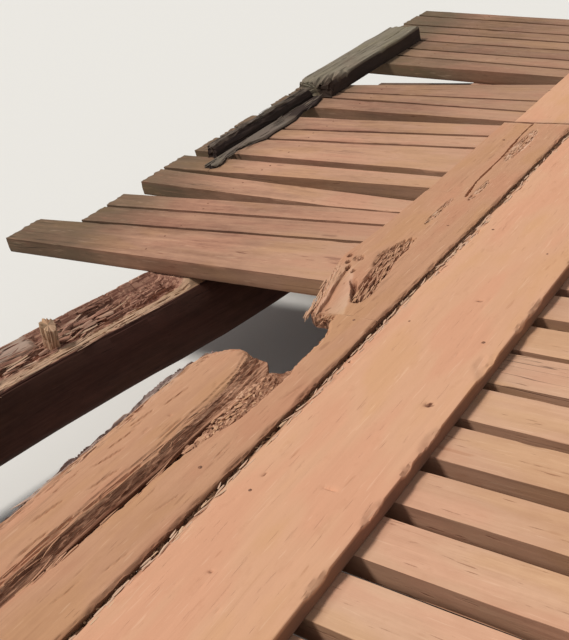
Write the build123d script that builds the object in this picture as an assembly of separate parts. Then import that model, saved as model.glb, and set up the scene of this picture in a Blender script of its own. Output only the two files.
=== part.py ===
from build123d import *
from math import atan, cos, degrees
import os

# Small timber road bridge: cross planks on log stringers, with a pair of runner
# boards for each wheel and a low kerb on each side. The left side is rotten and
# has lost several planks. Millimetres, Z up, Y along the bridge, X across it.
# The origin is on the ground, under the middle of the bridge.

# Length of the long logs, which run from bank to bank, and how far short of their
# ends everything else stops
STRINGER_HALF_LENGTH = 3900
SILL_SETBACK = 450
FIRST_PLANK_SETBACK = 297.5
LAST_PLANK_SETBACK = 225
RUNNER_SETBACK = 260
KERB_SETBACK = 400

# Half the width of the deck
DECK_HALF_WIDTH = 2720

# Bank logs, which lie across the bridge and carry everything
SILL_RADIUS = 170
SILL_FOOT_WIDTH = 200
SILL_TOP = 260
SILL_OVERHANG = 230

# Long logs
STRINGER_AXIS_Z = 427
STRINGER_BUTT_RADIUS = 200
STRINGER_TIP_RADIUS = 182
SEAT_MARGIN = 20
DECK_BOTTOM = 588
INNER_STRINGER_X = 885
OUTER_STRINGER_X = 2000

# The outer log on the left lies askew: its middle, and how far each end is off it
SKEWED_RADIUS = 196
SKEWED_MIDDLE_X = -2095
SKEWED_SHIFT = 650
SAW_ALLOWANCE = 150

# Rot in the top of the skewed log, in the open hole
ROT_NEAR_Y = -1120
ROT_FAR_Y = 240
ROT_DEPTH = 38
ROT_TROUGH_RADIUS = 62
ROT_TROUGH_RISE = 26
ROT_END_SLOPE = 90

# Deck planks
PLANK_THICKNESS = 70
PLANK_END_GAP = 8
EVEN_PITCH = 177.5
EVEN_GAP = 27
EVEN_GROUP = 11
# How far each plank's two edges are off an even spacing, over and over
NEAR_WANDER = (17, 15, 10, 12, 20, 38, 45, 43, 32, 24, 15)
FAR_WANDER = (2, 0, 4, 8, 16, 24, 20, 28, 22, 24, -2)
LEFT_NEAR_COUNT = 14
LEFT_NEAR_GROUP = 7

# Left field beyond the hole: the planks fan out, so each has its own width and its
# own gap before it, at the outer end and at the inner end, and its own outer reach
FAN_START_OUTER = 280
FAN_START_INNER = 346
FAN = {
    "left_plank_01": [((0, 0), (222, 312), 230)],
    "left_plank_02": [((8, 8), (153, 131), -20)],
    "left_plank_03": [((8, 8), (134, 90), -14)],
    "left_plank_04": [((134, 4), (159, 76), 10)],
    "left_planks_05_to_07": [
        ((14, 146), (167, 106), 16),
        ((55, 45), (187, 266), 0),
        ((12, 12), (124, 130), -8),
    ],
    "left_planks_08_to_11": [
        ((12, 12), (176, 120), 6),
        ((163, 18), (156, 120), 0),
        ((10, 10), (74, 145), -6),
        ((6, 8), (86, 262), 4),
    ],
    "left_planks_12_to_14": [
        ((443, 28), (167, 105), 0),
        ((10, 10), (124, 120), 10),
        ((10, 10), (150, 140), -6),
    ],
    "left_planks_15_to_18": [
        ((10, 10), (158, 105), 8),
        ((10, 10), (130, 115), -4),
        ((10, 10), (192, 140), 12),
        ((10, 10), (117, 120), 0),
    ],
}
# Planks three and four touch from this X inwards, and gape outwards
PINCH_X = -1586
PINCH_BEFORE = 4
PINCH_BOW = 32

# Runner boards, two for each wheel
RUNNER_THICKNESS = 45
RUNNER_INNER_EDGE = 484
RUNNER_CRACK_X = 885
RUNNER_CRACK = 20
RUNNER_OUTER_WIDTH = 319
BUTT_GAP = 10

# Left outer runner: split near board, broken nose at the hole, far board
NEAR_BOARD_OUTER_X = -1330
NEAR_BOARD_END_Y = 90
SPLIT_LEFT_X = -1158
SPLIT_RIGHT_X = -1070
SPLIT_START_Y = -1650
SPLIT_TIP_X = -1112
ROTTEN_END_Y = -165
ROTTEN_CORNER = 125
INNER_PRONG_X = -1022
INNER_PRONG_STEP_Y = -200
NOSE_TIP_Y = 45
NOSE_SHOULDER_Y = 250
NOSE_OUTER_X = -1214
NOSE_TIP_X = -1100
MIDDLE_BOARD_END_Y = 1734
MIDDLE_BOARD_OUTER_X = -1205
FAR_BOARD_OUTER_X = -1165
CHECK_X = -1064
CHECK_WIDTH = 12
CHECK_START_Y = 810

# Stumps of rotten planks under the split board
STUMP_STARTS = (-1112, -915, -712, -512, -352)
STUMP_WIDTH = 146
STUMP_OUTER_X = -1178
STUMP_RAGGED = 60
STUMP_PEAK_SHARE = 0.55

# Joints between runner boards that are out of sight
LEFT_INNER_JOINT_Y = -1600
RIGHT_INNER_JOINT_Y = 1250
RIGHT_OUTER_JOINT_Y = -420

# Kerbs
KERB_INSET = 120
KERB_WIDTH = 216
KERB_HEIGHT = 95
KERB_JOINT_Y = 150
LEFT_KERB_FAR_END_Y = 3180
LEFT_KERB_SOUND_Y = 2130
LEFT_KERB_END_Y = 1250
LEFT_KERB_NEAR_END_Y = -1180
RIM_OUTSET = 40
RIM_WIDTH = 70
RIM_HEIGHT = 72
SCAB_OUTSET = 116
SCAB_WIDTH = 92
SCAB_HEIGHT = 24
SCAB_END_Y = 1130
SCAB_RAGGED = 45

# Smallest step past a face, so that a cut is open
CUT_MARGIN = 1

DECK_TOP = DECK_BOTTOM + PLANK_THICKNESS
SILL_Y = STRINGER_HALF_LENGTH - SILL_SETBACK
SILL_HALF_LENGTH = DECK_HALF_WIDTH + SILL_OVERHANG
SEAT_LENGTH = SILL_SETBACK + SILL_RADIUS + SEAT_MARGIN
RUNNER_END_Y = STRINGER_HALF_LENGTH - RUNNER_SETBACK
KERB_OUTER_X = DECK_HALF_WIDTH - KERB_INSET
KERB_END_Y = STRINGER_HALF_LENGTH - KERB_SETBACK
EVEN_START_Y = FIRST_PLANK_SETBACK - STRINGER_HALF_LENGTH
EVEN_END_Y = STRINGER_HALF_LENGTH - LAST_PLANK_SETBACK
EVEN_COUNT = round((EVEN_END_Y - EVEN_START_Y) / EVEN_PITCH)


def slab(corners, bottom, thickness):
    """A flat piece of timber from the corners of its outline."""
    outline = make_face(Polyline(*corners, close=True))
    return extrude(Pos(0, 0, bottom) * outline, amount=thickness, dir=(0, 0, 1))


def plate(x0, x1, y0, y1, bottom, thickness):
    """A straight board between two X and two Y values."""
    return slab([(x0, y0), (x1, y0), (x1, y1), (x0, y1)], bottom, thickness)


def room(x0, x1, y0, y1, z0, z1):
    """A box that is cut away from a piece."""
    return plate(x0, x1, y0, y1, z0, z1 - z0)


def write(name, *solids):
    """One node: its solids lie side by side and do not touch."""
    export_step(Compound(list(solids)), f"parts/{name}.step")


def sill(y):
    """Bank log, hewn flat below to lie firm and flat above to carry the long logs."""
    foot = SILL_FOOT_WIDTH / 2
    axis_z = (SILL_RADIUS**2 - foot**2) ** 0.5
    log = Rot(0, 90, 0) * Cylinder(SILL_RADIUS, 2 * SILL_HALF_LENGTH)
    log = Pos(0, y, axis_z) * log
    reach = SILL_HALF_LENGTH
    hewn = room(-reach, reach, y - SILL_RADIUS, y + SILL_RADIUS, 0, SILL_TOP)
    return log & hewn


def hew(log, centre_x, spread):
    """Flat top for the planks along the whole log, and a flat seat on each bank log."""
    long = STRINGER_HALF_LENGTH
    left, right = centre_x - spread, centre_x + spread
    log &= room(left, right, -long, long, 0, DECK_BOTTOM)
    for start in (-long, long - SEAT_LENGTH):
        end = start + SEAT_LENGTH
        log -= room(left, right, start, end, 0, SILL_TOP)
    return log


def straight_stringer(x, butt_is_near):
    """A log that tapers from its butt to its tip."""
    turn = -90 if butt_is_near else 90
    log = Cone(STRINGER_BUTT_RADIUS, STRINGER_TIP_RADIUS, 2 * STRINGER_HALF_LENGTH)
    log = Pos(x, 0, STRINGER_AXIS_Z) * (Rot(turn, 0, 0) * log)
    return hew(log, x, 2 * STRINGER_BUTT_RADIUS)


def skewed_cylinder(radius, axis_z):
    """A cylinder along the middle line of the skewed log, at a height of its own."""
    turn = atan(SKEWED_SHIFT / STRINGER_HALF_LENGTH)
    length = 2 * (STRINGER_HALF_LENGTH / cos(turn) + SAW_ALLOWANCE)
    lying = Rot(-90, 0, 0) * Cylinder(radius, length)
    return Pos(SKEWED_MIDDLE_X, 0, axis_z) * (Rot(0, 0, -degrees(turn)) * lying)


def skewed_stringer():
    """The outer log on the left, askew, with its top rotted out in the open hole."""
    spread = SKEWED_SHIFT + 2 * SKEWED_RADIUS
    log = hew(skewed_cylinder(SKEWED_RADIUS, STRINGER_AXIS_Z), SKEWED_MIDDLE_X, spread)
    low = DECK_BOTTOM - ROT_DEPTH
    rot = extrude(
        Plane.YZ.offset(SKEWED_MIDDLE_X - spread)
        * make_face(
            Polyline(
                (ROT_NEAR_Y, DECK_BOTTOM + CUT_MARGIN),
                (ROT_NEAR_Y + ROT_END_SLOPE, low),
                (ROT_FAR_Y - ROT_END_SLOPE, low),
                (ROT_FAR_Y, DECK_BOTTOM + CUT_MARGIN),
                close=True,
            )
        ),
        amount=2 * spread,
    )
    trough = skewed_cylinder(ROT_TROUGH_RADIUS, low + ROT_TROUGH_RISE) & room(
        SKEWED_MIDDLE_X - spread, SKEWED_MIDDLE_X + spread, ROT_NEAR_Y + ROT_END_SLOPE,
        ROT_FAR_Y - ROT_END_SLOPE, 0, DECK_BOTTOM,
    )
    return log - rot - trough


def even_planks(x0, x1, first, count):
    """Planks laid square to the bridge at an even pitch, with edges that wander."""
    planks = []
    for number in range(first, first + count):
        start = EVEN_START_Y + number * EVEN_PITCH
        near = start + NEAR_WANDER[number % len(NEAR_WANDER)]
        far = start + EVEN_PITCH - EVEN_GAP + FAR_WANDER[number % len(FAR_WANDER)]
        planks.append(plate(x0, x1, near, far, DECK_BOTTOM, PLANK_THICKNESS))
    return planks


def write_even_field(name, x0, x1, count, group):
    """A field of even planks, a few neighbours to each node."""
    for part, first in enumerate(range(0, count, group)):
        size = min(group, count - first)
        write(f"{name}_{part + 1}", *even_planks(x0, x1, first, size))


def fan_planks():
    """The planks of the left field beyond the hole, each carried on from the last."""
    inner_x = -INNER_STRINGER_X - PLANK_END_GAP / 2
    span = inner_x + DECK_HALF_WIDTH
    outer_y, inner_y = FAN_START_OUTER, FAN_START_INNER
    for name, planks in FAN.items():
        solids = []
        for (gap_outer, gap_inner), (wide_outer, wide_inner), reach in planks:
            near = (outer_y + gap_outer, inner_y + gap_inner)
            far = (near[0] + wide_outer, near[1] + wide_inner)
            x = -DECK_HALF_WIDTH - reach
            near_end, far_end = [
                inner + (outer - inner) * (inner_x - x) / span for outer, inner in (near, far)
            ]
            corners = [(x, near_end), (inner_x, near[1]), (inner_x, far[1]), (x, far_end)]
            if name == "left_plank_03":
                share = (inner_x - PINCH_X) / span
                touch_y = far[1] + (far[0] - far[1]) * share + PINCH_BOW / 2
                corners.insert(3, (PINCH_X, touch_y))
            if name == "left_plank_04":
                corners.insert(1, (PINCH_X, touch_y + PINCH_BEFORE))
            solids.append(slab(corners, DECK_BOTTOM, PLANK_THICKNESS))
            outer_y, inner_y = far
        write(name, *solids)


def split_near_board():
    """Outer left runner before the hole: one board, split into two prongs."""
    inner_x = -RUNNER_CRACK_X - RUNNER_CRACK / 2
    board = slab(
        [
            (NEAR_BOARD_OUTER_X, -RUNNER_END_Y),
            (inner_x, -RUNNER_END_Y),
            (inner_x, NEAR_BOARD_END_Y),
            (INNER_PRONG_X, NEAR_BOARD_END_Y),
            (INNER_PRONG_X, INNER_PRONG_STEP_Y),
            (SPLIT_RIGHT_X, INNER_PRONG_STEP_Y - RUNNER_THICKNESS),
            (SPLIT_TIP_X, SPLIT_START_Y),
            (SPLIT_LEFT_X, ROTTEN_END_Y - ROTTEN_CORNER),
            (SPLIT_LEFT_X - ROTTEN_CORNER / 4, ROTTEN_END_Y),
            (NEAR_BOARD_OUTER_X + ROTTEN_CORNER / 2, ROTTEN_END_Y - ROTTEN_CORNER / 5),
            (NEAR_BOARD_OUTER_X, ROTTEN_END_Y - ROTTEN_CORNER),
        ],
        DECK_TOP,
        RUNNER_THICKNESS,
    )
    return board


def nosed_board():
    """Outer left runner beyond the hole, with a broken nose and a long check."""
    inner_x = -RUNNER_CRACK_X - RUNNER_CRACK / 2
    start_y = NEAR_BOARD_END_Y + BUTT_GAP
    nose_side_x = INNER_PRONG_X - BUTT_GAP
    board = slab(
        [
            (inner_x, start_y),
            (inner_x, MIDDLE_BOARD_END_Y),
            (MIDDLE_BOARD_OUTER_X, MIDDLE_BOARD_END_Y),
            (NOSE_OUTER_X, NOSE_SHOULDER_Y),
            (NOSE_TIP_X, NOSE_TIP_Y + BUTT_GAP),
            (nose_side_x, NOSE_TIP_Y),
            (nose_side_x, start_y),
        ],
        DECK_TOP,
        RUNNER_THICKNESS,
    )
    return board - plate(
        CHECK_X - CHECK_WIDTH / 2, CHECK_X + CHECK_WIDTH / 2, CHECK_START_Y,
        MIDDLE_BOARD_END_Y, DECK_TOP, RUNNER_THICKNESS,
    )


def runner(x0, x1, y0, y1):
    """A sound runner board."""
    return plate(x0, x1, y0, y1, DECK_TOP, RUNNER_THICKNESS)


def stump(start_y):
    """What is left of a rotten plank: its inner end, broken off ragged."""
    inner_x = -INNER_STRINGER_X - PLANK_END_GAP / 2
    end_y = start_y + STUMP_WIDTH
    ragged_x = STUMP_OUTER_X + STUMP_RAGGED
    middle_y = start_y + STUMP_PEAK_SHARE * STUMP_WIDTH
    corners = [
        (inner_x, start_y), (inner_x, end_y), (ragged_x, end_y),
        (STUMP_OUTER_X, middle_y), (ragged_x - STUMP_RAGGED / 3, start_y),
    ]
    return slab(corners, DECK_BOTTOM, PLANK_THICKNESS)


def kerb(outer_x, inner_x, y0, y1, height=KERB_HEIGHT):
    """A squared timber along the edge of the deck."""
    return plate(min(outer_x, inner_x), max(outer_x, inner_x), y0, y1, DECK_TOP, height)


def rotten_kerb():
    """Left kerb where its heart has gone: a thin outer rim and a low inner scab."""
    rim_outer = -KERB_OUTER_X + RIM_OUTSET
    joint = LEFT_KERB_SOUND_Y - BUTT_GAP
    rim = kerb(rim_outer, rim_outer + RIM_WIDTH, LEFT_KERB_END_Y, joint, RIM_HEIGHT)
    outer = -KERB_OUTER_X + SCAB_OUTSET
    inner = outer + SCAB_WIDTH
    scab = slab(
        [
            (outer, SCAB_END_Y + SCAB_RAGGED),
            (outer + SCAB_WIDTH / 2, SCAB_END_Y),
            (inner - SCAB_RAGGED / 3, SCAB_END_Y + 3 * SCAB_RAGGED),
            (inner, joint - SCAB_RAGGED),
            (inner - SCAB_RAGGED, joint),
            (outer, joint),
        ],
        DECK_TOP,
        SCAB_HEIGHT,
    )
    return rim, scab


os.makedirs("parts", exist_ok=True)

write("sill_log_near", sill(-SILL_Y))
write("sill_log_far", sill(SILL_Y))
write("stringer_log_left_outer", skewed_stringer())
write("stringer_log_left_inner", straight_stringer(-INNER_STRINGER_X, True))
write("stringer_log_right_inner", straight_stringer(INNER_STRINGER_X, False))
write("stringer_log_right_outer", straight_stringer(OUTER_STRINGER_X, True))

plank_joint = INNER_STRINGER_X - PLANK_END_GAP / 2
outer_joint = INNER_STRINGER_X + PLANK_END_GAP / 2
write_even_field("centre_planks", -plank_joint, plank_joint, EVEN_COUNT, EVEN_GROUP)
write_even_field("right_planks", outer_joint, DECK_HALF_WIDTH, EVEN_COUNT, EVEN_GROUP)
write_even_field(
    "left_near_planks", -DECK_HALF_WIDTH, -outer_joint, LEFT_NEAR_COUNT, LEFT_NEAR_GROUP
)
fan_planks()
write("rotten_plank_stumps", *[stump(start) for start in STUMP_STARTS])

left_outer_inner_x = -RUNNER_CRACK_X - RUNNER_CRACK / 2
left_inner_outer_x = -RUNNER_CRACK_X + RUNNER_CRACK / 2
write("runner_left_outer_near", split_near_board())
write("runner_left_outer_middle", nosed_board())
write(
    "runner_left_outer_far",
    runner(FAR_BOARD_OUTER_X, left_outer_inner_x, MIDDLE_BOARD_END_Y + BUTT_GAP, RUNNER_END_Y),
)
write(
    "runner_left_inner_near",
    runner(left_inner_outer_x, -RUNNER_INNER_EDGE, -RUNNER_END_Y, LEFT_INNER_JOINT_Y),
)
write(
    "runner_left_inner_far",
    runner(
        left_inner_outer_x, -RUNNER_INNER_EDGE, LEFT_INNER_JOINT_Y + BUTT_GAP, RUNNER_END_Y
    ),
)
for side, x0, x1, joint_y in (
    ("inner", RUNNER_INNER_EDGE, -left_inner_outer_x, RIGHT_INNER_JOINT_Y),
    ("outer", -left_outer_inner_x, -left_outer_inner_x + RUNNER_OUTER_WIDTH, RIGHT_OUTER_JOINT_Y),
):
    write(f"runner_right_{side}_near", runner(x0, x1, -RUNNER_END_Y, joint_y))
    write(f"runner_right_{side}_far", runner(x0, x1, joint_y + BUTT_GAP, RUNNER_END_Y))

kerb_inner_x = KERB_OUTER_X - KERB_WIDTH
write(
    "kerb_left_far",
    kerb(-KERB_OUTER_X, -kerb_inner_x, LEFT_KERB_SOUND_Y, LEFT_KERB_FAR_END_Y),
)
rim, scab = rotten_kerb()
write("kerb_left_rotten_rim", rim)
write("kerb_left_rotten_scab", scab)
write("kerb_left_near", kerb(-KERB_OUTER_X, -kerb_inner_x, -KERB_END_Y, LEFT_KERB_NEAR_END_Y))
write("kerb_right_near", kerb(KERB_OUTER_X, kerb_inner_x, -KERB_END_Y, KERB_JOINT_Y))
write("kerb_right_far", kerb(KERB_OUTER_X, kerb_inner_x, KERB_JOINT_Y + BUTT_GAP, KERB_END_Y))
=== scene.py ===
import math

import bpy
import numpy as np
from bpy.props import FloatProperty, FloatVectorProperty, PointerProperty
from mathutils import Matrix, Vector


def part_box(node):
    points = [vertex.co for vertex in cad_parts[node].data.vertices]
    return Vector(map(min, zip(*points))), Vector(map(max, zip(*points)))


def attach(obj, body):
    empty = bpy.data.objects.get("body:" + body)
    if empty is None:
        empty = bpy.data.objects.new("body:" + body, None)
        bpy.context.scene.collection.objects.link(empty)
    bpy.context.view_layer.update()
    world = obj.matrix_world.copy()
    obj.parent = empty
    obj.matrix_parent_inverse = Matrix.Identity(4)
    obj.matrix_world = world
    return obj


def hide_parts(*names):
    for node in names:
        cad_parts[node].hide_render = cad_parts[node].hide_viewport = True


bl_info = {
    "name": "Plank Bridge Dressing",
    "version": (1, 0, 0),
    "blender": (4, 5, 0),
    "location": "3D View > Sidebar > Bridge",
    "description": "Weathered timber surfaces for a damaged plank road bridge",
    "category": "Object",
}

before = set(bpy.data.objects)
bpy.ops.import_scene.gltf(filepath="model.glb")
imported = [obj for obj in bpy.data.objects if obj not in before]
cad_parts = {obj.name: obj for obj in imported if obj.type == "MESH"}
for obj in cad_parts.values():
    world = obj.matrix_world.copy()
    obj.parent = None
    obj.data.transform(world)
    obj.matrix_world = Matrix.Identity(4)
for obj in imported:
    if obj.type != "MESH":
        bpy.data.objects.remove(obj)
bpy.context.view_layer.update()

# Heights and edges that the frame gives
RUNNER_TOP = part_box("runner_left_inner_far")[1][2]
DECK_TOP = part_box("runner_left_inner_far")[0][2]
DECK_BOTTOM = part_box("left_plank_01")[0][2]
RUNNER_EDGE_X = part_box("runner_left_inner_far")[1][0]
PLANK_NODES = [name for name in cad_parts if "plank" in name]

# The photograph's height in pixels, and the camera's lens, place and axes
PHOTO_HEIGHT = 640
FOCAL_PIXELS = 908.28
SENSOR = 36.0
CAMERA_X = 0.466
CAMERA_Y = -1.85
CAMERA_HEIGHT = 1.4
CAMERA_RIGHT = (0.80058, 0.56854, -0.18932)
CAMERA_DOWN = (0.15546, -0.50218, -0.85067)
CAMERA_FORWARD = (-0.57871, 0.6516, -0.49042)
CLIP_END = 200.0

# The floor's half size and colour, the light and the background
FLOOR_HALF = 60.0
FLOOR_TONE = (228, 226, 222)
SUN_SPREAD_DEGREES = 11
SUN_TOWARDS = (0.46, 0.42, -1.0)
SUN_COLOUR = (1.0, 0.97, 0.92)
FILL_COLOUR = (0.94, 0.97, 1.0, 1.0)
BACKGROUND_COLOUR = (0.86, 0.86, 0.85, 1.0)

# The parts of the wear colour; the last one holds grime and painted shade
ROT, GREYING, SAND, DIRT_AND_SHADE = range(4)

# Sizes of the logs under the deck
LOG_AXIS_Z = 0.427
LOG_RADII = (0.2, 0.182)
LOG_KNOTS = 0.006
LOG_SEAT_MARGIN = 0.02
SKEWED_LOG_SHIFT = 0.65
SKEWED_LOG_RADIUS = 0.196
SILL_FOOT_HALF = 0.1

# Where nails run along the bridge: through the planks into the logs, and through the runner boards.
# The latter stand in rows from one Y to another, a step apart
LOG_LINES = (-2.15, -0.93, -0.84, 0.84, 0.93, 2.0)
RUNNER_NAIL_LINES = (-1.13, -0.97, -0.8, -0.55, 0.55, 0.8, 0.97, 1.13)
SPIKE_ROWS = (-3.5, 3.6, 0.71)

# Edges that turn more sharply than this stay crisp
SHARP_DEGREES = 26
# A timber's lower edges have this radius, and rings of these shares of its section close its ends
TIGHT_EDGE = 0.0025
CAP_SHARES = (0.93, 0.66, 0.33)


# Numbers that wander: smooth noise on arrays


def lattice(ix, iy, seed):
    """A fixed pseudo-random number from -1 to 1 for each pair of whole numbers."""
    h = (ix.astype(np.int64) * 374761393 + iy.astype(np.int64) * 668265263 + seed * 974634777)
    h = (h ^ (h >> 13)) * 1274126177 & 0xFFFFFFFF
    h = (h ^ (h >> 15)) * 2246822519 & 0xFFFFFFFF
    return ((h ^ (h >> 16)) & 0xFFFF) / 32767.5 - 1.0


def smooth_noise(x, y, seed):
    """Numbers at whole-number corners, blended with 3t^2 - 2t^3 in each direction."""
    x, y = np.broadcast_arrays(np.asarray(x, float), np.asarray(y, float))
    ix, iy = np.floor(x), np.floor(y)
    tx, ty = x - ix, y - iy
    tx, ty = tx * tx * (3 - 2 * tx), ty * ty * (3 - 2 * ty)
    near = lattice(ix, iy, seed) * (1 - tx) + lattice(ix + 1, iy, seed) * tx
    far = lattice(ix, iy + 1, seed) * (1 - tx) + lattice(ix + 1, iy + 1, seed) * tx
    return near * (1 - ty) + far * ty


def rough(x, y, seed, octaves=3):
    """Sum of smooth noises, each twice as fine and half as strong as the last."""
    total, strength, weight = 0.0, 1.0, 0.0
    for octave in range(octaves):
        total = total + strength * smooth_noise(x * 2**octave, y * 2**octave, seed + 31 * octave)
        weight += strength
        strength *= 0.5
    return total / weight


def step(low, high, value):
    """0 below low, 1 above high, and 3t^2 - 2t^3 between."""
    t = np.clip((value - low) / (high - low), 0, 1)
    return t * t * (3 - 2 * t)


def spot(x, y, centre, size):
    """1 at the centre of an ellipse, falling smoothly to 0 at its edge."""
    reach = ((x - centre[0]) / size[0]) ** 2 + ((y - centre[1]) / size[1]) ** 2
    return step(1.0, 0.0, reach)


def band(value, low, high, soft):
    """1 between low and high, 0 outside, with soft shoulders."""
    return step(low - soft, low + soft, value) * step(high + soft, high - soft, value)


def across_of(line, y):
    """X of a line at each Y."""
    line = np.asarray(line)
    return np.interp(y, line[:, 1], line[:, 0])


# Broken and rotten surfaces


def furrows(x, y, seed, across=110, along=14):
    """Furrows along Y between sharp ridges: 2.2 times the size of a stretched noise, at most 1."""
    return np.clip(2.2 * np.abs(rough(x * across, y * along, seed)), 0, 1)


def fissure(x, y, line, depth, half, seed, wander=0.003):
    """A crack along Y: a V about a wandering middle line, run out at both ends."""
    line = np.asarray(line, float)
    middle = np.interp(y, line[:, 1], line[:, 0]) + wander * rough(y * 14, 0 * y, seed)
    width = half * (1 + 0.6 * rough(y * 22, 0 * y + 3, seed + 1))
    ends = step(line[0, 1], line[0, 1] + 0.03, y) * step(line[-1, 1], line[-1, 1] - 0.03, y)
    return depth * ends * np.clip(1 - np.abs(x - middle) / width, 0, 1) ** 0.7


def terraced(depth, rise, seed, x, y):
    """A slope as whole steps of one rise with short risers, as where layers of wood have come away."""
    level = depth / rise + 0.35 * rough(x * 30, y * 12, seed)
    whole = np.floor(level)
    return rise * np.maximum(whole + step(0.62, 0.98, level - whole), 0)


def chunks(x, y, wide, long, seed):
    """Broken lumps, as depths from 0 to 1.3.

    Each point takes the level of the nearest of a grid of jogged centres, tipped to one side
    or the other, with a groove where two lumps meet.
    """
    u, v = np.broadcast_arrays(x / wide, y / long)
    best, second, level = np.full(u.shape, 9.0), np.full(u.shape, 9.0), np.zeros(u.shape)
    for du in (-1, 0, 1):
        for dv in (-1, 0, 1):
            iu, iv = np.floor(u) + du, np.floor(v) + dv
            off_u = u - iu - 0.5 - 0.42 * lattice(iu, iv, seed)
            off_v = v - iv - 0.5 - 0.42 * lattice(iu, iv, seed + 1)
            reach = np.hypot(off_u, off_v)
            closer = reach < best
            tipped = 0.5 + 0.35 * lattice(iu, iv, seed + 2) + 0.5 * off_u * lattice(iu, iv, seed + 3)
            second = np.where(closer, best, np.minimum(second, reach))
            level = np.where(closer, tipped, level)
            best = np.where(closer, reach, best)
    return np.clip(level + 0.6 * step(0.24, 0.0, second - best), 0, 1.3)


def raised(wear, part, amount):
    """Raises one part of the wear to an amount, where it is lower."""
    wear[..., part] = np.maximum(wear[..., part], amount)


# Meshes


def tube_faces(rings, around):
    """Faces of a closed tube: quads between its rings, and at each end a fan about an added point."""
    index = np.arange(rings * around).reshape(rings, around)
    after = np.roll(index, -1, axis=1)
    quads = np.stack([index[:-1], after[:-1], after[1:], index[1:]], -1).reshape(-1, 4)
    hub = np.full(around, rings * around)
    tris = np.concatenate([
        np.stack([after[0], index[0], hub], -1),
        np.stack([index[-1], after[-1], hub + 1], -1),
    ])
    return quads, tris


def padded(values, count):
    """Rows with the first and the last repeated, for the rings that close the ends."""
    return np.concatenate([values[:1]] * count + [values] + [values[-1:]] * count)


class Shell:
    """Points, faces and surface values of one piece, gathered from closed shapes."""

    def __init__(self):
        self.points, self.quads, self.tris = [], [], []
        self.grain, self.wear, self.tint = [], [], []
        self.count = 0

    def add(self, points, quads, tris, grain, wear, tint):
        """Takes one closed shape, turned so that its faces point outwards."""
        corner = points[quads]
        volume = np.einsum("ij,ij->i", corner[:, 0], np.cross(corner[:, 1], corner[:, 2])).sum()
        volume += np.einsum("ij,ij->i", corner[:, 0], np.cross(corner[:, 2], corner[:, 3])).sum()
        if len(tris):
            fan = points[tris]
            volume += np.einsum("ij,ij->i", fan[:, 0], np.cross(fan[:, 1], fan[:, 2])).sum()
        if volume < 0:
            quads, tris = quads[:, ::-1], tris[:, ::-1]
        self.points.append(points)
        self.quads.append(quads + self.count)
        self.tris.append(tris + self.count)
        self.grain.append(grain)
        self.wear.append(wear)
        self.tint.append(np.full(len(points), tint))
        self.count += len(points)

    def rows(self, rows, grain, wear, tint):
        """A closed tube from rings of points: quads between the rings, a fan on each end."""
        rings, around = rows.shape[:2]

        def with_ends(values):
            ends = [values[0].mean(0), values[-1].mean(0)]
            return np.concatenate([values.reshape(rings * around, -1), ends])

        self.add(with_ends(rows), *tube_faces(rings, around), with_ends(grain), with_ends(wear), tint)

    def piece(self, name, nodes, material, slot):
        """The finished object, which rides on the bridge and stands for its CAD nodes."""
        points = np.concatenate(self.points)
        quads, tris = np.concatenate(self.quads), np.concatenate(self.tris)
        mesh = bpy.data.meshes.new(name)
        mesh.vertices.add(len(points))
        mesh.vertices.foreach_set("co", points.ravel())
        loops = np.concatenate([quads.ravel(), tris.ravel()])
        mesh.loops.add(len(loops))
        mesh.loops.foreach_set("vertex_index", loops.astype(np.int32))
        starts = np.concatenate([np.arange(len(quads)) * 4, len(quads) * 4 + np.arange(len(tris)) * 3])
        mesh.polygons.add(len(starts))
        mesh.polygons.foreach_set("loop_start", starts.astype(np.int32))
        mesh.polygons.foreach_set("use_smooth", np.ones(len(starts), bool))
        mesh.update(calc_edges=True)
        mesh.set_sharp_from_angle(angle=math.radians(SHARP_DEGREES))
        if mesh.validate():
            raise RuntimeError(f"{name} has faces that don't close")
        grain = mesh.attributes.new("grain", "FLOAT_VECTOR", "POINT")
        grain.data.foreach_set("vector", np.concatenate(self.grain).ravel())
        wear = mesh.attributes.new("wear", "FLOAT_COLOR", "POINT")
        wear.data.foreach_set("color", np.concatenate(self.wear).ravel())
        tint = mesh.attributes.new("tint", "FLOAT", "POINT")
        tint.data.foreach_set("value", np.concatenate(self.tint))
        mesh.materials.append(bpy.data.materials[material])
        piece = bpy.data.objects.new(name, mesh)
        bpy.context.scene.collection.objects.link(piece)
        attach(piece, "root")
        if nodes:
            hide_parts(*nodes)


def section(top_cuts, side_cuts, corner_cuts):
    """A rounded rectangle as one loop: place across and up, each as a share plus a corner part."""
    quarter = np.linspace(0, np.pi / 2, corner_cuts + 1)
    shares = np.linspace(0, 1, top_cuts + 1)[1:-1]
    sides = np.linspace(0, 1, side_cuts + 1)[1:-1]
    below = np.linspace(0, 1, max(3, top_cuts // 8) + 1)[1:-1]
    parts = [
        (np.ones_like(quarter), np.cos(quarter), np.ones_like(quarter), np.sin(quarter)),
        (shares[::-1], 0 * shares, 0 * shares + 1, 0 * shares + 1),
        (0 * quarter, -np.sin(quarter), np.ones_like(quarter), np.cos(quarter)),
        (0 * sides, 0 * sides - 1, sides[::-1], 0 * sides),
        (0 * quarter, -np.cos(quarter), 0 * quarter, -np.sin(quarter)),
        (below, 0 * below, 0 * below, 0 * below - 1),
        (np.ones_like(quarter), np.sin(quarter), 0 * quarter, -np.cos(quarter)),
        (0 * sides + 1, 0 * sides + 1, sides, 0 * sides),
    ]
    return [np.concatenate([part[k] for part in parts]) for k in range(4)]


def resample(edge, count):
    """An edge of a few corners, as evenly spaced points along it."""
    edge = np.asarray(edge, float)
    reach = np.concatenate([[0], np.cumsum(np.linalg.norm(np.diff(edge, axis=0), axis=1))])
    places = np.linspace(0, reach[-1], count)
    return np.stack([np.interp(places, reach, edge[:, k]) for k in range(edge.shape[1])], -1)


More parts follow.
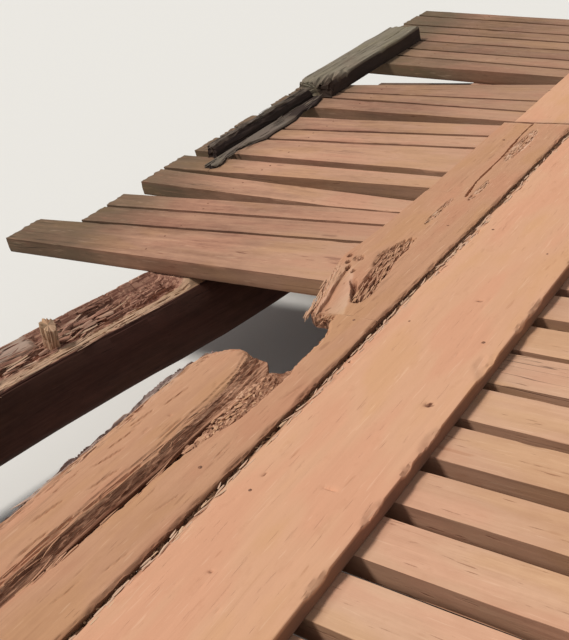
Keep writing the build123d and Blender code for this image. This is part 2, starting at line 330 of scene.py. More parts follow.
def stations(start, end, fine, coarse, spans=()):
    """Places from start to end, closely spaced inside the spans and widely outside them."""
    dense = np.linspace(start, end, int((end - start) / fine))
    inside = np.zeros(len(dense), bool)
    for low, high in spans:
        inside |= (dense > low) & (dense < high)
    pace = np.where(inside, 1.0, fine / coarse)
    walked = np.concatenate([[0], np.cumsum((pace[1:] + pace[:-1]) / 2)])
    return np.interp(np.linspace(0, walked[-1], int(walked[-1]) + 2), walked, dense)


def lengthwise(places, left, right):
    """Edges of a board along the bridge, each given as one X or as X at a few Ys."""
    edges = []
    for edge in (left, right):
        x = np.full(len(places), edge) if np.isscalar(edge) else across_of(edge, places)
        edges.append(np.stack([x, places], -1))
    return edges


def timber(shell, near, far, bottom, top, seed, cuts, corner, chip, ragged, grooves,
           relief=None, paint=None, tint=None, grain_shift=None):
    """A sawn timber as a rounded rectangle carried from one end to the other.

    The place of a point is the near edge plus its share of the way to the far edge, and its
    height is its share of the thickness. The corners' radius wanders along the timber and
    chips bite into it, the top sinks by grooves that run along the grain and by relief, and
    both ends are pushed in and out by noise across the section. The grain runs straight from
    the middle of one end to the middle of the other, and timbers given one grain shift share it.
    """
    # a runs across the timber and b up it, each as a share plus a part that follows the corner
    share_a, round_a, share_b, round_b = section(*cuts)
    middle_line = (near + far) / 2
    across = far - near
    width = np.linalg.norm(across, axis=1)[:, None]
    thick = top - bottom
    s = np.concatenate([[0], np.cumsum(np.linalg.norm(np.diff(middle_line, axis=0), axis=1))])[:, None]
    in_upper_half = share_b >= 0.5
    bites = [
        step(0.25, 0.8, rough(s * 5, share_a * 0 + seed + shift, seed + later, 4)) * chip * 2.0
        for shift, later in ((0, 0), (9.5, 3))
    ]
    bite = np.where(share_a < 0.5, *bites) * (0.35 + 0.65 * share_b)
    radius = corner * (1 + 0.5 * rough(s * 5, share_a * 2, seed + 1)) + bite
    radius = np.where(in_upper_half, radius, TIGHT_EDGE)
    radius = np.minimum(radius, 0.42 * np.minimum(width, thick))
    upper = np.where(in_upper_half, radius, TIGHT_EDGE)
    lower = np.where(in_upper_half, TIGHT_EDGE, radius)
    on_side = (np.abs(round_a) > 0) & (np.abs(round_b) == 0)
    inset = np.where(on_side, share_b * corner + (1 - share_b) * TIGHT_EDGE, radius)
    place = share_a * (width - 2 * inset) + inset + inset * round_a
    wobble = rough(s * 3, share_b * 1.5 + 7 * np.sign(share_a - 0.5), seed + 5) * chip
    place = place - np.where(np.abs(round_a) > 0.5, np.sign(round_a) * (np.abs(wobble) + chip * 0.3), 0)
    plan = near[:, None, :] + across[:, None, :] * (place / width)[..., None]
    x, y = plan[..., 0], plan[..., 1]

    on_top = (share_b == 1) * np.clip(round_b, 0, 1)
    sink = grooves * (1 + rough(s * 1.7, place * 70, seed + 11, 2)) * on_top
    sink = sink + 0.5 * grooves * (1 + rough(s * 9, place * 30, seed + 13)) * on_top
    if relief is not None:
        sink = sink + relief(x, y)
    sink = np.minimum(sink, 0.8 * thick - upper)
    height = share_b * (thick - sink - upper - lower) + lower + inset * round_b
    wear = np.zeros((*place.shape, 4))
    wear[..., DIRT_AND_SHADE] = 0.35 * (share_b < 1)
    if paint is not None:
        # up is 1 on the flat top, a little less round its edge, and the share of the height below
        up = share_b - 0.02 * (share_b == 1) * (1 - np.clip(round_b, 0, 1)) + 0 * place
        wear = paint(x, y, up, wear)

    # the ends: rings that shrink to the middle, all pushed along the timber by noise
    rows = np.concatenate([plan, (bottom + height)[..., None]], -1)
    heading = np.gradient(middle_line, axis=0)
    heading /= np.linalg.norm(heading, axis=1)[:, None]
    walked = np.arange(len(near))
    ends = ((0, -1, ragged[0], walked), (-1, 1, ragged[1], walked[::-1]))
    for end, sign, amount, away in ends:
        push = -amount * (0.5 + 0.5 * rough(place[end] * 60, height[end] * 45, seed + 23 + end, 2))
        push = np.exp(-(away / 1.2))[:, None] * push * sign
        rows[..., :2] += push[..., None] * heading[end]
    caps = []
    for end, sign, amount, away in ends:
        middle = rows[end].mean(0)
        rings = []
        for share in CAP_SHARES:
            ring = middle + (rows[end] - middle) * share
            run = ring[:, :2] @ across[end] / width[end] * 60
            depth = amount * 0.5 * rough(run, ring[:, 2] * 60, seed + 29, 2)
            ring[:, :2] += (sign * np.abs(depth) * -0.8)[:, None] * heading[end]
            rings.append(ring)
        caps.append(np.array(rings))
    rows = np.concatenate([caps[0][::-1], rows, caps[1]])

    axis = near[-1] + far[-1] - near[0] - far[0]
    axis = axis / np.linalg.norm(axis)
    grain = np.stack([plan @ axis, plan @ np.array([-axis[1], axis[0]]), height], -1)
    grain = padded(grain, len(CAP_SHARES))
    middle = grain[[0, -1]].mean(1)
    for k, share in enumerate(CAP_SHARES):
        for row, end, sign in ((2 - k, 0, -1), (len(grain) - 3 + k, 1, 1)):
            grain[row, :, 1:] = middle[end, 1:] + (grain[row, :, 1:] - middle[end, 1:]) * share
            grain[row, :, 0] += (0.01 + 0.01 * k) * sign
    rng = np.random.default_rng(seed)
    drawn = rng.uniform(0, 40, 3)
    grain = grain + (drawn if grain_shift is None else grain_shift)
    wear = padded(wear, len(CAP_SHARES))
    wear[:4, :, GREYING] += 0.5
    wear[-4:, :, GREYING] += 0.5
    tint = float(rng.uniform(0.2, 0.9)) if tint is None else tint
    shell.rows(rows, grain, np.clip(wear, 0, 1), tint)


def cad_planks(node):
    """Each plank of a CAD node as its near and far edge, from the corners of its solid."""
    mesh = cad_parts[node].data
    points = np.empty(len(mesh.vertices) * 3)
    mesh.vertices.foreach_get("co", points)
    points = points.reshape(-1, 3)
    mesh.calc_loop_triangles()
    tris = np.empty(len(mesh.loop_triangles) * 3, np.int64)
    mesh.loop_triangles.foreach_get("vertices", tris)
    corners, same = np.unique(np.round(points, 5), axis=0, return_inverse=True)
    tris = same.reshape(-1)[tris].reshape(-1, 3)
    label = np.arange(len(corners))
    for _ in range(len(corners)):
        lowest = label[tris].min(1)
        fresh = label.copy()
        for k in range(3):
            np.minimum.at(fresh, tris[:, k], lowest)
        if (fresh == label).all():
            break
        label = fresh
    planks = []
    for value in np.unique(label):
        plan = np.unique(corners[label == value][:, :2], axis=0)
        plan = plan[np.argsort(plan[:, 0], kind="stable")]
        left, right = plan[:2], plan[-2:]
        left, right = left[np.argsort(left[:, 1])], right[np.argsort(right[:, 1])]
        near, far = [left[0]], [left[1]]
        for point in plan[2:-2]:
            share = (point[0] - left[0][0]) / (right[0][0] - left[0][0])
            middle = (left[0][1] + left[1][1]) / 2 * (1 - share) + (right[0][1] + right[1][1]) / 2 * share
            (near if point[1] < middle else far).append(point)
        near.append(right[0])
        far.append(right[1])
        planks.append((np.array(near), np.array(far)))
    return sorted(planks, key=lambda plank: plank[0][:, 1].mean())


def slivers(shell, feet, headings, length, width, seed, tint, wear, lift=0.0):
    """Loose fibres: flat tapering rods that start at their feet and bend upwards.

    A rod's middle line is its foot, plus its heading times the distance walked, plus an
    upward bend with the square of that distance, and its width falls to a point.
    """
    rng = np.random.default_rng(seed)
    count, rings, sides = len(feet), 4, 4
    lengths = length * rng.uniform(0.6, 1.3, count)
    widths = width * rng.uniform(0.6, 1.4, count)
    headings = headings / np.linalg.norm(headings, axis=1)[:, None]
    sideways = np.cross(headings, [0.0, 0.0, 1.0])
    sideways /= np.maximum(np.linalg.norm(sideways, axis=1), 1e-6)[:, None]
    normal = np.cross(sideways, headings)
    t = np.linspace(0, 1, rings)
    sway = rng.normal(0, 0.1, count)
    rise = lift * rng.uniform(0.2, 1.6, count)
    middle = feet[:, None] + headings[:, None] * (lengths[:, None] * t)[..., None]
    middle = middle + sideways[:, None] * ((sway * lengths)[:, None] * t**2)[..., None]
    middle = middle + np.array([0, 0, 1.0]) * ((rise * lengths)[:, None] * t**2)[..., None]
    taper = np.array([0.7, 1.0, 0.75, 0.12])
    turn = np.linspace(0, 2 * np.pi, sides, endpoint=False) + rng.uniform(0, 6, (count, 1))
    wide = sideways[:, None] * np.cos(turn)[..., None] + 0.45 * normal[:, None] * np.sin(turn)[..., None]
    points = middle[:, :, None] + wide[:, None] * (widths[:, None] * taper)[:, :, None, None] / 2
    ends = np.stack([points[:, 0].mean(1), points[:, -1].mean(1)], 1)
    block = np.concatenate([points.reshape(count, -1, 3), ends], 1)
    quads, tris = tube_faces(rings, sides)
    size = rings * sides + 2
    offset = (np.arange(count) * size)[:, None, None]
    along = np.concatenate([np.repeat(t, sides), [0, 1]])[None] * lengths[:, None]
    cut = np.concatenate([np.tile(np.arange(sides) * 0.002, rings), [0, 0]])[None] + 0 * along
    grain = np.stack([along, cut, cut], -1) + rng.uniform(0, 40, (count, 1, 3))
    shell.add(
        block.reshape(-1, 3), (quads + offset).reshape(-1, 4), (tris + offset).reshape(-1, 3),
        grain.reshape(-1, 3), np.tile(np.asarray(wear, float), (count * size, 1)), tint,
    )


def scatter(rng, count, x, y, z, spread, tilt=0.0):
    """Feet inside a box, and headings within a spread of the bridge's length."""
    feet = np.stack([rng.uniform(*x, count), rng.uniform(*y, count), rng.uniform(*z, count)], -1)
    side = rng.normal(0, spread, count)
    way = np.where(rng.uniform(0, 1, count) < 0.5, -1.0, 1.0)
    return feet, np.stack([side, way, np.full(count, tilt)], -1)


def strew(shell, rng, line, count, x, y, z, spread, tilt=0.0, **look):
    """Slivers scattered over a box whose X counts from a line, or from 0 without one."""
    feet, headings = scatter(rng, count, x, y, z, spread, tilt)
    if line is not None:
        feet[:, 0] += across_of(line, feet[:, 1])
    slivers(shell, feet, headings, **look)


def nail_heads(shell, places, radius=0.0055, height=0.0022):
    """Round heads as low domes: rings whose height falls with the square of their radius."""
    places = np.asarray(places, float)
    around = 6
    rings = np.array([1.0, 0.86, 0.5])
    rise = np.array([-1.2, 0.45, 0.9]) * height
    turn = np.linspace(0, 2 * np.pi, around, endpoint=False)
    ring = np.stack([
        rings[:, None] * np.cos(turn) * radius, rings[:, None] * np.sin(turn) * radius,
        rise[:, None] + 0 * turn,
    ], -1).reshape(-1, 3)
    block = np.concatenate([ring, [[0, 0, rise[0]], [0, 0, height]]])
    points = places[:, None] + block[None]
    quads, tris = tube_faces(len(rings), around)
    offset = (np.arange(len(places)) * len(block))[:, None, None]
    grain = np.tile(block, (len(places), 1)) + np.repeat(places, len(block), axis=0)
    shell.add(points.reshape(-1, 3), (quads + offset).reshape(-1, 4), (tris + offset).reshape(-1, 3),
              grain, np.zeros((len(grain), 4)), 0.5)


# Logs

# The rotten log: from which Y to which its top is rotten, how far its right rim is worn down and its left
# rim stands up, and the cosine of the angle from straight up at which the right rim breaks off
ROT_SPAN = (-1.12, 0.33)
RIM_SINK = 0.027
LEFT_RIM_SINK = -0.026
RIM_UP = 0.665
# How far the rotten log's loose fibres turn from its straight axis, as X for each Y
FIBRE_TURN = 0.07
# The upright stub on the rotten log: its place, its half sizes across and along, and its heights
STUB_Y = -0.222
STUB_ACROSS = 0.033
STUB_HALF = (0.034, 0.028)
STUB_LEAN = 0.026
STUB_SPAN = (0.53, 0.672)


def log_paint(across, y, up, wear):
    """Darker towards the underside."""
    wear[..., DIRT_AND_SHADE] = 0.45 * step(0.6, -0.4, up)
    return wear


def crook(y):
    """How far the rotten log's middle line leaves its straight axis: most beside the hole."""
    return 0.004 + 0.11 * y * np.exp(-((y / 0.85) ** 2))


def log_angles(fine_cuts, coarse_cuts, half=0.95):
    """Angles round a log from straight up, close together within half either side of the top."""
    upper = np.linspace(-half, half, fine_cuts, endpoint=False)
    rest = np.linspace(half, 2 * np.pi - half, coarse_cuts, endpoint=False)
    return np.concatenate([upper, rest])


def log(shell, places, shift, radii, axis_z, top_z, seat, angles, seed, relief=None, paint=log_paint,
        along_x=False):
    """A debarked log along Y, hewn flat on top and on its seats.

    At each place along the log a point lies at its angle, at the radius there less a wandering
    amount and the furrows that run along the log. The radius is then cut back to where
    the ray meets the flat top less relief, or the flat of a seat, with a small rounded arris.
    """
    y = np.asarray(places)[:, None]
    turn = angles[None, :]
    share = (y - y[0]) / (y[-1] - y[0])
    radius = radii[0] + (radii[1] - radii[0]) * share
    wave = rough(y * 1.1, np.cos(turn) * 1.3 + 3 * np.sin(turn), seed, 3)
    groove = furrows(turn * 2.4, y, seed + 2, 6, 1.6)
    reach = radius - 0.004 - LOG_KNOTS * (wave + 0.6) - 0.004 * groove
    up, out = np.cos(turn), np.sin(turn)
    flat = top_z - axis_z
    across = np.clip(out * flat / np.maximum(up, 0.2), -radii[0], radii[0])
    sink = 0.001 + 0.0015 * (1 + rough(y * 2.4, across * 60, seed + 3))
    if relief is not None:
        sink = sink + relief(across, y + 0 * across)
    trim = (flat - sink) / np.maximum(up, 0.05)
    reach = np.where(up > 0.05, np.minimum(reach, trim), reach)
    seat_z, seat_length = seat
    seated = (y < places[0] + seat_length) | (y > places[-1] - seat_length)
    low = (axis_z - seat_z) / np.maximum(-up, 0.05)
    reach = np.where(seated & (up < -0.05), np.minimum(reach, low), reach)
    skew = shift * 2 / (places[-1] - places[0])
    centre = skew * (y - (places[0] + places[-1]) / 2)
    if relief is not None:
        centre = centre + crook(y)
    rows = np.stack([centre + reach * out, y + 0 * turn, axis_z + reach * up], -1)
    grain = np.stack([y + 0 * turn, reach * out, reach * up], -1)
    wear = paint(reach * out, y + 0 * turn, up + 0 * y, np.zeros((*reach.shape, 4)))
    caps, cap_grain = [], []
    for end, sign in ((0, -1), (-1, 1)):
        middle = rows[end].mean(0)
        for inner in (0.97, 0.75, 0.5, 0.25):
            ring = middle + (rows[end] - middle) * inner
            rays = np.clip(np.abs(smooth_noise(turn[0] * 3.2, 0 * turn[0] + seed, seed + 5)) * 4, 0, 1)
            ring[:, 1] -= sign * (0.004 + 0.01 * (1 - rays) * (0.3 + inner))
            caps.append(ring)
            cap_grain.append(grain[end] * [1, inner, inner])
    rows = np.concatenate([caps[3::-1], rows, caps[4:]])
    grain = np.concatenate([cap_grain[3::-1], grain, cap_grain[4:]])
    wear = padded(wear, 4)
    wear[:4, :, GREYING] += 0.4
    wear[-4:, :, GREYING] += 0.4
    if along_x:
        rows = rows[..., [1, 0, 2]]
    rng = np.random.default_rng(seed)
    shell.rows(rows, grain + [rng.uniform(0, 40), 0, 0], np.clip(wear, 0, 1), float(rng.uniform(0, 1)))


def rotten_log_relief(across, y):
    """A high ragged left rim, a hollow of coarse broken fibres, and a low right rim with a crisp edge."""
    inside = step(ROT_SPAN[0], ROT_SPAN[0] + 0.09, y) * step(ROT_SPAN[1], ROT_SPAN[1] - 0.05, y)
    wander = 0.02 * rough(y * 6, 0 * y, 341)
    sound = step(-0.215, -0.25, y + 0.02 * rough(across * 40, y * 3, 342))
    sound = sound * step(0.015, -0.02, across + wander)
    solid_end = step(0.06, 0.16, y) * step(0.085, 0.055, np.abs(across + 0.01))
    hollow = step(-0.092, -0.06, across + wander) * step(0.094, 0.07, across + 0.5 * wander)
    hollow = hollow * (1 - sound) * (1 - 0.8 * solid_end)
    coarse = furrows(across + 0.16 * y, y, 344, 30, 6)
    lumps = chunks(across - 0.3 * y, y, 0.026, 0.05, 346)
    fine = furrows(across, y, 345, 120, 20)
    sink = hollow * (0.026 + 0.03 * coarse + 0.016 * lumps + 0.008 * fine)
    right = step(0.05, 0.08, across + 0.3 * wander)
    sink = np.maximum(sink, right * (RIM_SINK + 0.009 * coarse * (1 - solid_end) + 0.005 * fine))
    left = step(-0.06, -0.085, across + wander) * (1 - sound)
    sink = sink + left * (LEFT_RIM_SINK + 0.026 * lumps + 0.012 * coarse)
    sink = sink + solid_end * (1 - right) * (0.002 + 0.02 * lumps + 0.004 * fine)
    sink = sink + sound * (0.012 + 0.004 * coarse)
    return inside * sink


def rotten_log_paint(across, y, up, wear):
    """Rotten in the hollow, grey where sound, sandy on the right rim, and painted black shade below its
    edge.
    """
    inside = band(y, ROT_SPAN[0], ROT_SPAN[1] + 0.05, 0.05)
    sound = step(-0.215, -0.25, y) * step(0.015, -0.02, across)
    rim = step(0.07, 0.085, across) * step(0.66, 0.672, up)
    wear[..., ROT] = inside * (0.72 - 0.7 * sound - 0.45 * rim) * step(0.6, 0.66, up)
    patches = step(0.0, 0.4, rough(across * 12, y * 5, 347))
    wear[..., GREYING] = 0.55 * inside * sound + 0.25 * inside * patches
    wear[..., SAND] = 0.55 * inside * rim
    # painted shade: the side below the right rim's edge is near black
    below = step(RIM_UP + 0.012, RIM_UP - 0.006, up + 0.012 * rough(y * 16, 0 * y, 348))
    stained = 0.3 * inside * step(-0.1, 0.5, rough(across * 20, y * 9, 349))
    raised(wear, DIRT_AND_SHADE, np.maximum(below, stained))
    return wear


def stub(shell, place, seed):
    """A stub of upright fibres: a ridged column with a splintered top.

    The column's half sizes shrink a little with height, grooves run up it at set angles, and
    the height of its top wanders with the angle.
    """
    t = np.linspace(0, 1, 18)[:, None]
    turn = np.linspace(0, 2 * np.pi, 72, endpoint=False)[None, :]
    out, side = np.cos(turn), np.sin(turn)
    groove = furrows(out * 0.035 + t * 0.004, side * 0.24, seed, 110, 16)
    holes = step(0.3, 0.45, rough(out * 4 + 3 * t, side * 4 - 3 * t, seed + 3)) * band(t, 0.25, 0.85, 0.1)
    swell = (1 - 0.12 * t) * (1 + 0.26 * rough(out * 2, side * 2 + t, seed + 1))
    swell = swell - 0.13 * groove - 0.22 * holes
    jag = 0.97 + 0.06 * rough(out * 4, side * 4, seed + 2, 2) - 0.2 * step(-0.7, 0.7, out)
    up = STUB_SPAN[0] + (STUB_SPAN[1] - STUB_SPAN[0]) * t * jag
    across = place[0] + STUB_LEAN * t + STUB_HALF[0] * swell * out
    rows = np.stack([across, place[1] + STUB_HALF[1] * swell * side, up], -1)
    grain = np.stack([up, place[0] + STUB_HALF[0] * out + 0 * t, STUB_HALF[1] * side + 0 * t], -1)
    wear = np.zeros((*up.shape, 4))
    wear[..., ROT] = 0.2 * step(0.3, 0.8, groove)
    wear[..., SAND] = 1.0 - 0.4 * step(0.3, 0.9, groove)
    # painted shade: darker in the grooves, in the holes and at the foot
    wear[..., DIRT_AND_SHADE] = 0.6 * step(0.6, 0.95, groove) + 0.4 * step(0.3, 0.0, t) + 0.8 * holes
    shell.rows(rows, grain, np.clip(wear, 0, 1), 1.0)


# The split runner board

# The crack between the two left runner boards: X of its two sides
CRACK_X = -0.895
WIDE_BOARD_X = -0.875
# Where the split board's outer strip ends
TIP_Y = -0.165
# Depth of the grain's grooves in the runner boards
RUNNER_GROOVES = 0.0007
# Where the split board's lips run, as X at Y
OUTER_LIP = [(-1.113, -3.7), (-1.113, -1.65), (-1.15, -1.16), (-1.148, -0.925), (-1.13, -0.662),
             (-1.143, -0.36), (-1.158, -0.27), (-1.178, -0.19), (-1.2, -0.165)]
INNER_LIP = [(-1.111, -3.7), (-1.111, -1.65), (-1.098, -1.19), (-1.085, -1.0), (-1.07, -0.835),
             (-1.068, -0.654), (-1.082, -0.463), (-1.078, -0.243), (-1.034, -0.226),
             (-1.012, -0.205), (-1.016, -0.1), (-1.012, -0.03), (-1.03, 0.02), (-1.046, 0.05),
             (-1.05, 0.1)]
# Where the crumbs on the inner strip end, as X at Y
CRUMB_BORDER = [(-1.066, -0.7), (-1.044, -0.6), (-1.012, -0.46), (-1.0, -0.3), (-0.998, -0.2)]
# Where the slope down the split ends, and the board's outer edge, as X at Y
STRIP_FOOT = [(-1.1118, -3.7), (-1.1115, -1.65), (-1.122, -1.16), (-1.119, -0.925), (-1.104, -0.662),
              (-1.108, -0.5), (-1.098, -0.4), (-1.086, -0.32), (-1.084, -0.26), (-1.1, -0.205),
              (-1.13, -0.165)]
OUTER_BOARD_EDGE = [(-1.33, -3.7), (-1.33, -0.3), (-1.32, -0.235), (-1.272, -0.185), (-1.225, -0.165)]
# The stretch that is in the photograph, and so is finely made
VISIBLE_Y = (-1.4, 1.8)
# Checks beside the outer lip: how far inside it, and from which Y to which
LIP_CHECKS = ((0.009, -1.6, -0.7), (0.018, -1.6, -0.92))
# Short checks in the split board's top: X, Y and lean
OUTER_CHECKS = ((-1.258, -0.44, 0.1), (-1.272, -0.656, 0.1), (-1.2, -0.8, 0.2), (-1.248, -0.95, 0.15),
                (-1.28, -0.85, 0.0), (-1.19, -1.05, 0.1), (-1.289, -0.56, 0.15), (-1.164, -0.567, 0.0),
                (-1.258, -0.73, 0.25))
# Outer edge of the flaked ledge along the split board, as X at Y, and how high it lies on the deck
LEDGE = [(-1.352, -1.05), (-1.376, -0.8), (-1.37, -0.62), (-1.378, -0.45), (-1.372, -0.3),
         (-1.345, -0.185)]
LEDGE_HEIGHT = 0.028
# Short checks in the inner strip: X, Y and lean
INNER_CHECKS = ((-0.962, -0.585, 0.0), (-0.98, -0.8, 0.2), (-0.95, -1.0, 0.1), (-0.99, -1.12, 0.1),
                (-0.945, -0.3, 0.2))
# Where the outer left runner's boards lie in the grain, so that it runs on across their joint
OUTER_GRAIN = (17.3, 5.1, 9.4)
# Loose chips on the inner strip: count and spread, then length, width, seed, tint and wear
CRUMBS = ((50, 0.3, 0.032, 0.011, 306, 0.9, (0.15, 0.1, 0.5, 0)),
          (60, 0.7, 0.016, 0.011, 307, 1.0, (0.0, 0.4, 0.5, 0)),
          (50, 0.5, 0.022, 0.009, 315, 0.4, (0.4, 0.0, 0.1, 0.3)))


def crack_side(x, y, seed, reach=0.02, ragged=0.01):
    """1 at the crack, and 0 beyond a ragged line beside it."""
    return step(reach, 0.0, CRACK_X - x + ragged * rough(y * 13, x * 20, seed))


def crack_fibres(x, y, seed):
    """Depth of the torn fibres beside the crack."""
    return crack_side(x, y, seed, 0.012, 0.008) * (0.002 + 0.006 * furrows(x, y, seed + 1, 150, 20))


def outer_rim(x, y):
    """The flaky rim of the split board's top, 1 at its outer edge and 0 some centimetres in."""
    outer = x - across_of(OUTER_BOARD_EDGE, y)
    outer = outer + 0.022 * rough(y * 8, x * 12, 214) + 0.008 * rough(x * 40, y * 26, 218)
    return step(0.046, 0.012, outer) * step(-1.2, -1.0, y)


def outer_strip_relief(x, y):
    """Worn top, flaky outer edge, and layers that step down to the split and round the end."""
    lip = across_of(OUTER_LIP, y) - x
    tip_reach = TIP_Y - y
    sink = 0.0015 * rough(x * 9, y * 3, 211)
    torn = step(-1.62, -1.35, y)
    fibres = furrows(x + 0.1 * y, y, 213, 95, 5)
    layer = step(0.03, 0.0, lip + 0.012 * rough(y * 7, 0 * y, 212))
    sink = sink + terraced(layer * 0.008, 0.0042, 219, x, y)
    for k, (inset, start, end) in enumerate(LIP_CHECKS):
        run = np.linspace(start, end, 9)
        line = np.stack([across_of(OUTER_LIP, run) - inset, run], -1)
        sink = sink + fissure(x, y, line, 0.008, 0.0026, 233 + k, 0.002)
    slope = np.clip(-lip / (across_of(STRIP_FOOT, y) - across_of(OUTER_LIP, y)), 0, 1)
    strata = terraced(0.03 * slope + 0.004 * rough(x * 24, y * 5, 250), 0.006, 251, x, y)
    sink = sink + torn * (slope > 0) * (0.003 + strata + 0.006 * fibres)
    rim = outer_rim(x, y)
    sink = sink + rim * (0.0015 + 0.006 * furrows(x + 0.06 * y, y, 215, 130, 9))
    sink = sink + 0.0022 * step(0.5, 0.6, rough(x * 34, y * 10, 227)) * torn
    tip = step(0.04, 0.0, tip_reach + 0.02 * rough(x * 30, y * 9, 216))
    sink = sink + tip * (0.002 + 0.006 * furrows(x, y, 217, 120, 14))
    for k, (cx, cy, turn) in enumerate(OUTER_CHECKS):
        line = [(cx, cy - 0.06), (cx + 0.12 * turn, cy + 0.06)]
        sink = sink + fissure(x, y, line, 0.005, 0.0038, 220 + k)
    return sink + 0.004 * spot(x, y, (-1.206, -0.52), (0.009, 0.006))


def outer_strip_paint(x, y, up, wear):
    """Fibrous down the lip's slope at the end, painted dark as shade down the split, pale flakes on the
    outer edge.
    """
    lip = across_of(OUTER_LIP, y) - x
    torn = step(-1.62, -1.4, y)
    near_tip = step(-0.72, -0.56, y)
    side = up < 0.96
    slope = np.clip(-lip / 0.03, 0, 1) * torn
    wear[..., ROT] = 0.6 * torn * step(0.003, -0.002, lip)
    raised(wear, ROT, 0.3 * step(0.03, 0.0, TIP_Y - y))
    flakes = outer_rim(x, y) * (up > 0.9)
    wear[..., GREYING] += flakes * (0.3 + 0.35 * step(-0.1, 0.2, rough(x * 50, y * 12, 232)))
    wear[..., SAND] += 0.8 * (up > 0.9) * (lip > 0.004)
    # painted shade on the strip's side that faces the split
    wear[..., DIRT_AND_SHADE] = np.maximum(0.3 * side, 0.9 * side * (lip < 0.03) * (1 - near_tip))
    # painted shade that deepens down the worn slope into the split
    worn = (0.3 + 0.4 * slope) * (1 - 0.75 * step(-0.6, -0.4, y))
    raised(wear, DIRT_AND_SHADE, worn * step(0.004, -0.002, lip) * torn)
    return wear


def inner_strip_relief(x, y):
    """Smooth beside the crack, and broken into coarse fibres on the side of the split."""
    lip = x - across_of(INNER_LIP, y)
    border = across_of(CRUMB_BORDER, y) + 0.014 * rough(y * 11, 0 * y, 241)
    crumbled = step(border + 0.008, border - 0.01, x) * band(y, -0.7, -0.205, 0.03)
    coarse = chunks(x + 0.3 * y, y, 0.01, 0.026, 242)
    fine = furrows(x - 0.15 * y, y, 240, 130, 26)
    sink = crumbled * (0.001 + 0.009 * coarse + 0.004 * fine + 0.006 * step(0.05, 0.0, lip))
    layered = step(0.026, 0.0, lip + 0.012 * rough(y * 9, x * 20, 243)) * band(y, -1.75, -0.66, 0.05)
    sink = sink + terraced(layered * 0.009, 0.0042, 244, x, y) + layered * 0.002 * furrows(x, y, 245)
    hole = step(0.016, 0.0, lip + 0.008 * rough(y * 24, x * 30, 246)) * step(-0.22, -0.19, y)
    sink = sink + hole * (0.003 + 0.01 * coarse)
    sink = sink + crack_fibres(x, y, 247)
    for k, (cx, cy, turn) in enumerate(INNER_CHECKS):
        line = [(cx, cy - 0.05), (cx + 0.12 * turn, cy + 0.05)]
        sink = sink + fissure(x, y, line, 0.003, 0.003, 250 + k)
    return sink + 0.0015 * rough(x * 8, y * 3, 249)


def inner_strip_paint(x, y, up, wear):
    """Fibres and pits are rotten, the smooth stretch is sandy, the crack is soiled, and the lower side in
    the split is painted dark as shade.
    """
    lip = x - across_of(INNER_LIP, y)
    border = across_of(CRUMB_BORDER, y) + 0.014 * rough(y * 11, 0 * y, 241)
    crumbled = step(border + 0.01, border - 0.008, x) * band(y, -0.7, -0.2, 0.03)
    layered = step(0.026, 0.0, lip + 0.012 * rough(y * 9, x * 20, 243)) * (y > -1.65) * (y < -0.66)
    side = (up < 0.96) * (lip < 0.02)
    wear[..., ROT] = np.maximum(0.62 * crumbled, 0.45 * layered)
    raised(wear, ROT, 0.6 * side)
    wear[..., SAND] += 0.8 * (up > 0.9) * (1 - crumbled)
    wear[..., DIRT_AND_SHADE] = np.maximum(0.45 * (up < 0.9), 0.75 * crack_side(x, y, 247))
    # painted shade on the lower half of the side that faces the split
    raised(wear, DIRT_AND_SHADE, 0.92 * side * (up < 0.5))
    return wear


def ledge_relief(x, y):
    """Splintered layers: deep furrows that run a little aslant."""
    return 0.001 + 0.011 * furrows(x + 0.12 * y, y, 311, 110, 7)


def ledge_paint(x, y, up, wear):
    """Grey, with pale splinters."""
    wear[..., GREYING] += 0.5
    wear[..., SAND] = 0.7 * step(0.25, 0.5, rough(x * 70, y * 9, 312))
    return wear


# The broken nose of the next runner board

# Outer edge of the broken nose, and the long check behind it, as X at Y
NOSE_EDGE = [(-1.106, 0.058), (-1.138, 0.082), (-1.186, 0.21), (-1.208, 0.27), (-1.236, 0.38),
             (-1.24, 0.46), (-1.226, 0.56), (-1.214, 0.72), (-1.206, 1.2), (-1.204, 1.74)]
CHECK_LINE = [(-1.028, 0.973), (-1.049, 1.112), (-1.053, 1.361), (-1.063, 1.485), (-1.073, 1.682),
              (-1.072, 1.745)]
# Flaked places beside the check: middle and half size, as X and Y
FLAKES = (((-1.026, 1.5), (0.033, 0.21)), ((-1.07, 0.85), (0.012, 0.15)), ((-1.003, 1.04), (0.014, 0.12)))
# How many loose chips lie on each flaked place
FLAKE_CHIPS = (90, 36, 30)
# Edges of the smooth wedge in the nose, the rotten stripe beyond it and the gully between, as X at Y
WEDGE_LEFT = [(-1.112, 0.06), (-1.127, 0.155), (-1.164, 0.29), (-1.186, 0.393)]
WEDGE_RIGHT = [(-1.005, 0.06), (-1.037, 0.141), (-1.08, 0.235), (-1.12, 0.311), (-1.165, 0.393)]
STRIPE = [(-1.018, 0.178), (-1.032, 0.249), (-1.046, 0.322), (-1.062, 0.405), (-1.076, 0.495),
          (-1.064, 0.56), (-1.05, 0.64)]
# Half the stripe's width at each Y
STRIPE_HALF = [(0.018, 0.165), (0.034, 0.22), (0.038, 0.4), (0.044, 0.5), (0.032, 0.56), (0.008, 0.64)]
# How far the stripe's long checks lie beside its middle
STRIPE_CHECKS = (-0.03, -0.012, 0.006, 0.024)
GULLY = [(-1.024, 0.165), (-1.04, 0.2), (-1.086, 0.268), (-1.112, 0.305)]
# The knob beside the stripe, and the holes round it: middle and half size, as X and Y
KNOB = ((-1.173, 0.442), (0.022, 0.028))
NOSE_HOLES = (((-1.214, 0.451), (0.01, 0.014)), ((-1.196, 0.409), (0.009, 0.014)),
              ((-1.176, 0.377), (0.008, 0.018)), ((-1.144, 0.358), (0.01, 0.012)))


